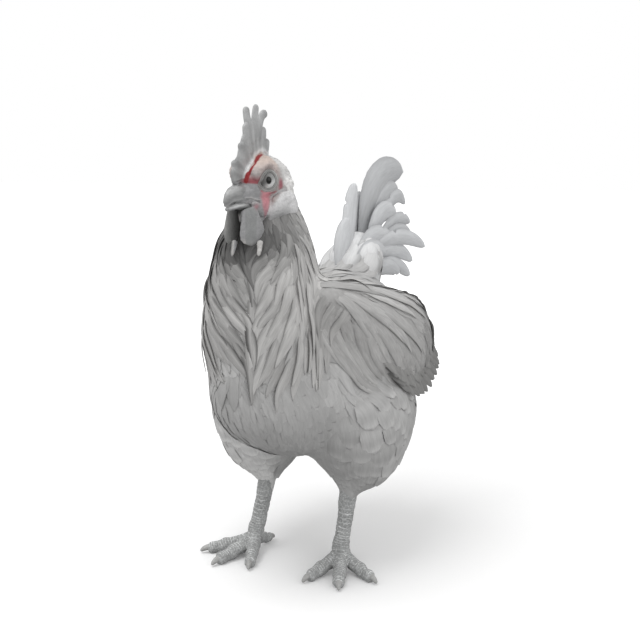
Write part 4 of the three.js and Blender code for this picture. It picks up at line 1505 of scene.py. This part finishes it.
def grow_head(ground, head, material):
    """The small feathers of crown, cheeks and nape, down to the neck's."""
    crown, own = crown_ground(ground, head)
    p, n, _ = crown.at_faces()
    z = p[:, 2] - HEAD[2]
    wanted = feathered(p - HEAD)
    wanted[own:] = step(-34, -30, z[own:])
    down = step(12, -18, z)

    def colour(roots, face):
        return mix(feather_colour(roots - HEAD), neck_colour(roots, n[face]), step(-8, -24, z[face]))

    vanes = Vanes()
    plumage(vanes, crown, wanted, mix(2.0, 3.4, down), (38, 49), head_flow, down, colour, "head", LANCEOLATE,
            length=(9, 28), width=(3.2, 5.2), lift=(0.12, 0.8), thickness=0.16, camber=0.03, tilt=0.02,
            emerge=0.4, base=0.94)
    vanes.build("coat_head", material, "plumage")


def grow_tail_base(ground, material):
    """Soft coverts that hide the roots of the tail."""
    _, n, shares = ground.at_faces()

    def colour(roots, face):
        return mix(body_colour(roots, n[face]), tail_colour(roots), step(258, 282, roots[:, 2]))

    vanes = Vanes()
    plumage(vanes, ground, share_of(shares, "tail"), 10.0, (35, 45), body_flow,
            lambda r: step(255, 310, r[:, 2]), colour, "tail", ROUNDED, length=(36, 46), width=(20, 24),
            lift=(2.5, 6.0), stations=13, across=9, thickness=0.9, camber=0.34, tilt=0.06, ragged=0.015,
            rim=0.06, base=0.8, vary=0.03, slit=0.35)
    vanes.build("coat_tail", material, "tail")


# ---------------------------------------------------------------- long feathers of wing and tail
# Roots and tips of the left wing's flight feathers, from the front one under the wing to the rearmost.
FLIGHT_ROOTS = ((84, 10, 206), (84, 30, 209), (81, 52, 213), (80, 74, 216), (78, 94, 218))
FLIGHT_TIPS = (
    (92, 44, 172), (93, 62, 161), (93, 84, 152.5), (92, 103, 153), (90, 122, 156), (88, 140, 160),
    (86, 154, 165), (83, 166, 172), (80, 166, 184),
)
FLIGHT_FEATHERS = 15
# Layers from the flight feathers outwards: reach between root and tip, outwards, half width, brightness.
FLIGHT_LAYERS = ((1.0, 0.0, 7.6, 0.32), (0.76, 1.6, 7.4, 0.36), (0.52, 2.6, 7.2, 0.39))
# The tail's feathers: root, where the shaft bends to, tip, width, how far the flat side faces the front,
# brightness.
MIDLINE_FEATHERS = (
    ((2, 104, 270), (2, 106, 330), (2, 121, 361), 18, 0.5, 0.72),
    ((-5, 114, 274), (-7, 122, 324), (-5, 138, 342), 19, 0.4, 0.64),
    ((-6, 126, 278), (-8, 138, 330), (-6, 158, 350), 22, 0.3, 0.6),
    ((1, 148, 286), (5, 150, 384), (7, 238, 371), 38, 0.3, 0.57),
    ((-2, 94, 264), (-1, 94, 304), (1, 108, 326), 19, 0.6, 0.7),
)
TAIL_FEATHERS = (
    ((5, 150, 292), (8, 176, 362), (8, 222, 350), 26, 0.1, 0.6),
    ((6, 152, 292), (12, 210, 368), (11, 234, 335), 16, 0.1, 0.66),
    ((10, 130, 284), (12, 160, 342), (16, 197, 328), 23, 0.15, 0.68),
    ((12, 140, 286), (16, 196, 334), (18, 233, 315), 16, 0.1, 0.66),
    ((14, 120, 284), (27, 176, 318), (35, 237, 288), 17, 0.25, 0.7),
    ((12, 96, 274), (16, 130, 320), (22, 174, 300), 22, 0.25, 0.68),
    ((14, 140, 286), (19, 192, 318), (22, 226, 303), 16, 0.1, 0.62),
    ((18, 112, 280), (24, 176, 302), (26, 222, 273), 17, 0.15, 0.7),
    ((19, 120, 272), (26, 172, 284), (28, 210, 258), 16, 0.2, 0.68),
    ((14, 92, 268), (20, 114, 304), (25, 148, 288), 22, 0.3, 0.66),
    ((20, 104, 262), (27, 144, 284), (29, 178, 264), 18, 0.3, 0.64),
)
FRAYED_BELOW = 0.6  # the big dark feathers aren't split


def frayed(half, rng, notches):
    """Ragged edges, with a split in the barbs here and there."""
    amount, stations, _ = half.shape
    half = half * (1 + 0.008 * rng.normal(size=half.shape))
    for _ in range(notches):
        i, edge = rng.integers(amount), rng.integers(2)
        at = rng.integers(int(0.45 * stations), stations - 3)
        half[i, at, edge] *= rng.uniform(0.55, 0.8)
        half[i, at + 1, edge] *= rng.uniform(0.85, 0.95)
    return half


def curved(root, bend, tip, t):
    """Points along a feather's shaft, which is drawn towards its bend."""
    t = t[:, None]
    return np.array(root) * (1 - t) ** 2 + 2 * np.array(bend) * t * (1 - t) + np.array(tip) * t**2


def darker_edges(across, depth, power, shape):
    # painted shade along each feather's edges, where it meets the next
    return 1 - depth * np.abs(np.linspace(-1, 1, across)) ** power * np.ones((*shape, 1))


def between(places, s):
    """Places at shares s of the way through a list of them."""
    at = np.linspace(0, 1, len(places))
    return np.stack([np.interp(s, at, column) for column in np.array(places).T], axis=1)


def grow_flight(material, side, sign):
    rng = np.random.default_rng(51)
    vanes = Vanes()
    t = np.linspace(0, 1, 26) ** 0.85
    for reach, outwards, wide, light in FLIGHT_LAYERS:
        s = np.clip(np.linspace(0, 1, FLIGHT_FEATHERS) + rng.normal(0, 0.01, FLIGHT_FEATHERS), 0, 1)
        tip, root = between(FLIGHT_TIPS, s), between(FLIGHT_ROOTS, s)
        tip = root + (tip - root) * reach + rng.normal(0, 1.2, tip.shape) * (0.3, 1, 1) + (outwards, 0, 0)
        root = root + (-16.0, -4.0, 16 * (1.2 - reach))
        bend = (root + tip) / 2 + (6.0, 2.0, 4.0)
        spine = np.stack([curved(a, b, c, t) for a, b, c in zip(root, bend, tip)])
        spine[..., 0] -= (0.2 * np.arange(FLIGHT_FEATHERS))[:, None]
        spine[..., 0] *= sign
        up = np.zeros_like(spine)
        up[..., 0] = sign
        half = np.tile((wide * outline(t, FLIGHT))[None, :, None], (FLIGHT_FEATHERS, 1, 2))
        half = frayed(half, rng, 6)
        vary = 1 + 0.04 * rng.normal(size=(FLIGHT_FEATHERS, 1, 1))
        colours = (light - 0.07 * step(0.5, 1, t))[None, :, None] * vary * (1.01, 1.0, 0.98)
        vanes.add(spine, up, half, colours, unwrapped(root * (sign, 1, 1), f"wing_{side}"), 9, 0.6, 0.08,
                  seed=52, edge=darker_edges(9, 0.25, 4, spine.shape[:2]))
    vanes.build(f"flight_feathers_of_{side}", material, "wing", f"flight_feathers_{side}")


def grow_tail(material, side, sign):
    rng = np.random.default_rng(53)
    vanes = Vanes()
    t = np.linspace(0, 1, 34)
    for root, bend, tip, width, facing, light in TAIL_FEATHERS + (MIDLINE_FEATHERS if sign > 0 else ()):
        spine = curved(root, bend, tip, t) * (sign, 1, 1)
        up = np.tile((sign * math.cos(facing), -math.sin(facing), 0.0), (len(t), 1))
        half = np.tile((width / 2 * outline(t, RECTRIX))[None, :, None], (1, 1, 2))
        half = frayed(half, rng, int(light > FRAYED_BELOW))
        # painted shade: each feather darker towards its root
        shade = light * (0.84 + 0.16 * step(0.15, 0.55, t))[None, :, None] * (1 + 0.02 * rng.normal())
        vanes.add(spine[None], up[None], half, shade * (0.985, 1.0, 1.02), unwrapped(spine[:1], "tail"),
                  11, 1.2, 0.24, seed=int(rng.integers(1000)), edge=darker_edges(11, 0.22, 6, (1, len(t))))
    vanes.build(f"tail_feathers_{side}", material, "tail", f"tail_{side}")


def grow_coat(ground, head):
    plume = vane_material("plumage_vanes", 0.06)
    hackle = vane_material("hackle_vanes", 0.1)
    wing = vane_material("wing_vanes", 0.09, 0.68)
    tail = vane_material("tail_vanes", 0.05, 0.65)
    grow_head(ground, head, hackle)
    grow_neck(ground, hackle)
    grow_trunk(ground, plume)
    grow_tail_base(ground, tail)
    for side, sign in SIDES:
        grow_thigh(ground, plume, side)
        grow_wing(ground, wing, side, sign)
        grow_flight(wing, side, sign)
        grow_tail(tail, side, sign)


make_stage()
ground = body_ground()
head = head_skin()
make_skin(ground, head, [foot_skin(side, sign) for side, sign in SIDES])
horn = material_of("horn", 0.42, 0.4, horn_pattern, bump=(0.2, 0.4))
eye = material_of("eyeball", 0.2, 0.25, eye_pattern, Coat_Weight=0.2, Coat_Roughness=0.03)
for side, sign in SIDES:
    make_eye(side, sign, eye)
    make_claws(side, sign, horn)
make_beak(horn)
grow_coat(ground, head)
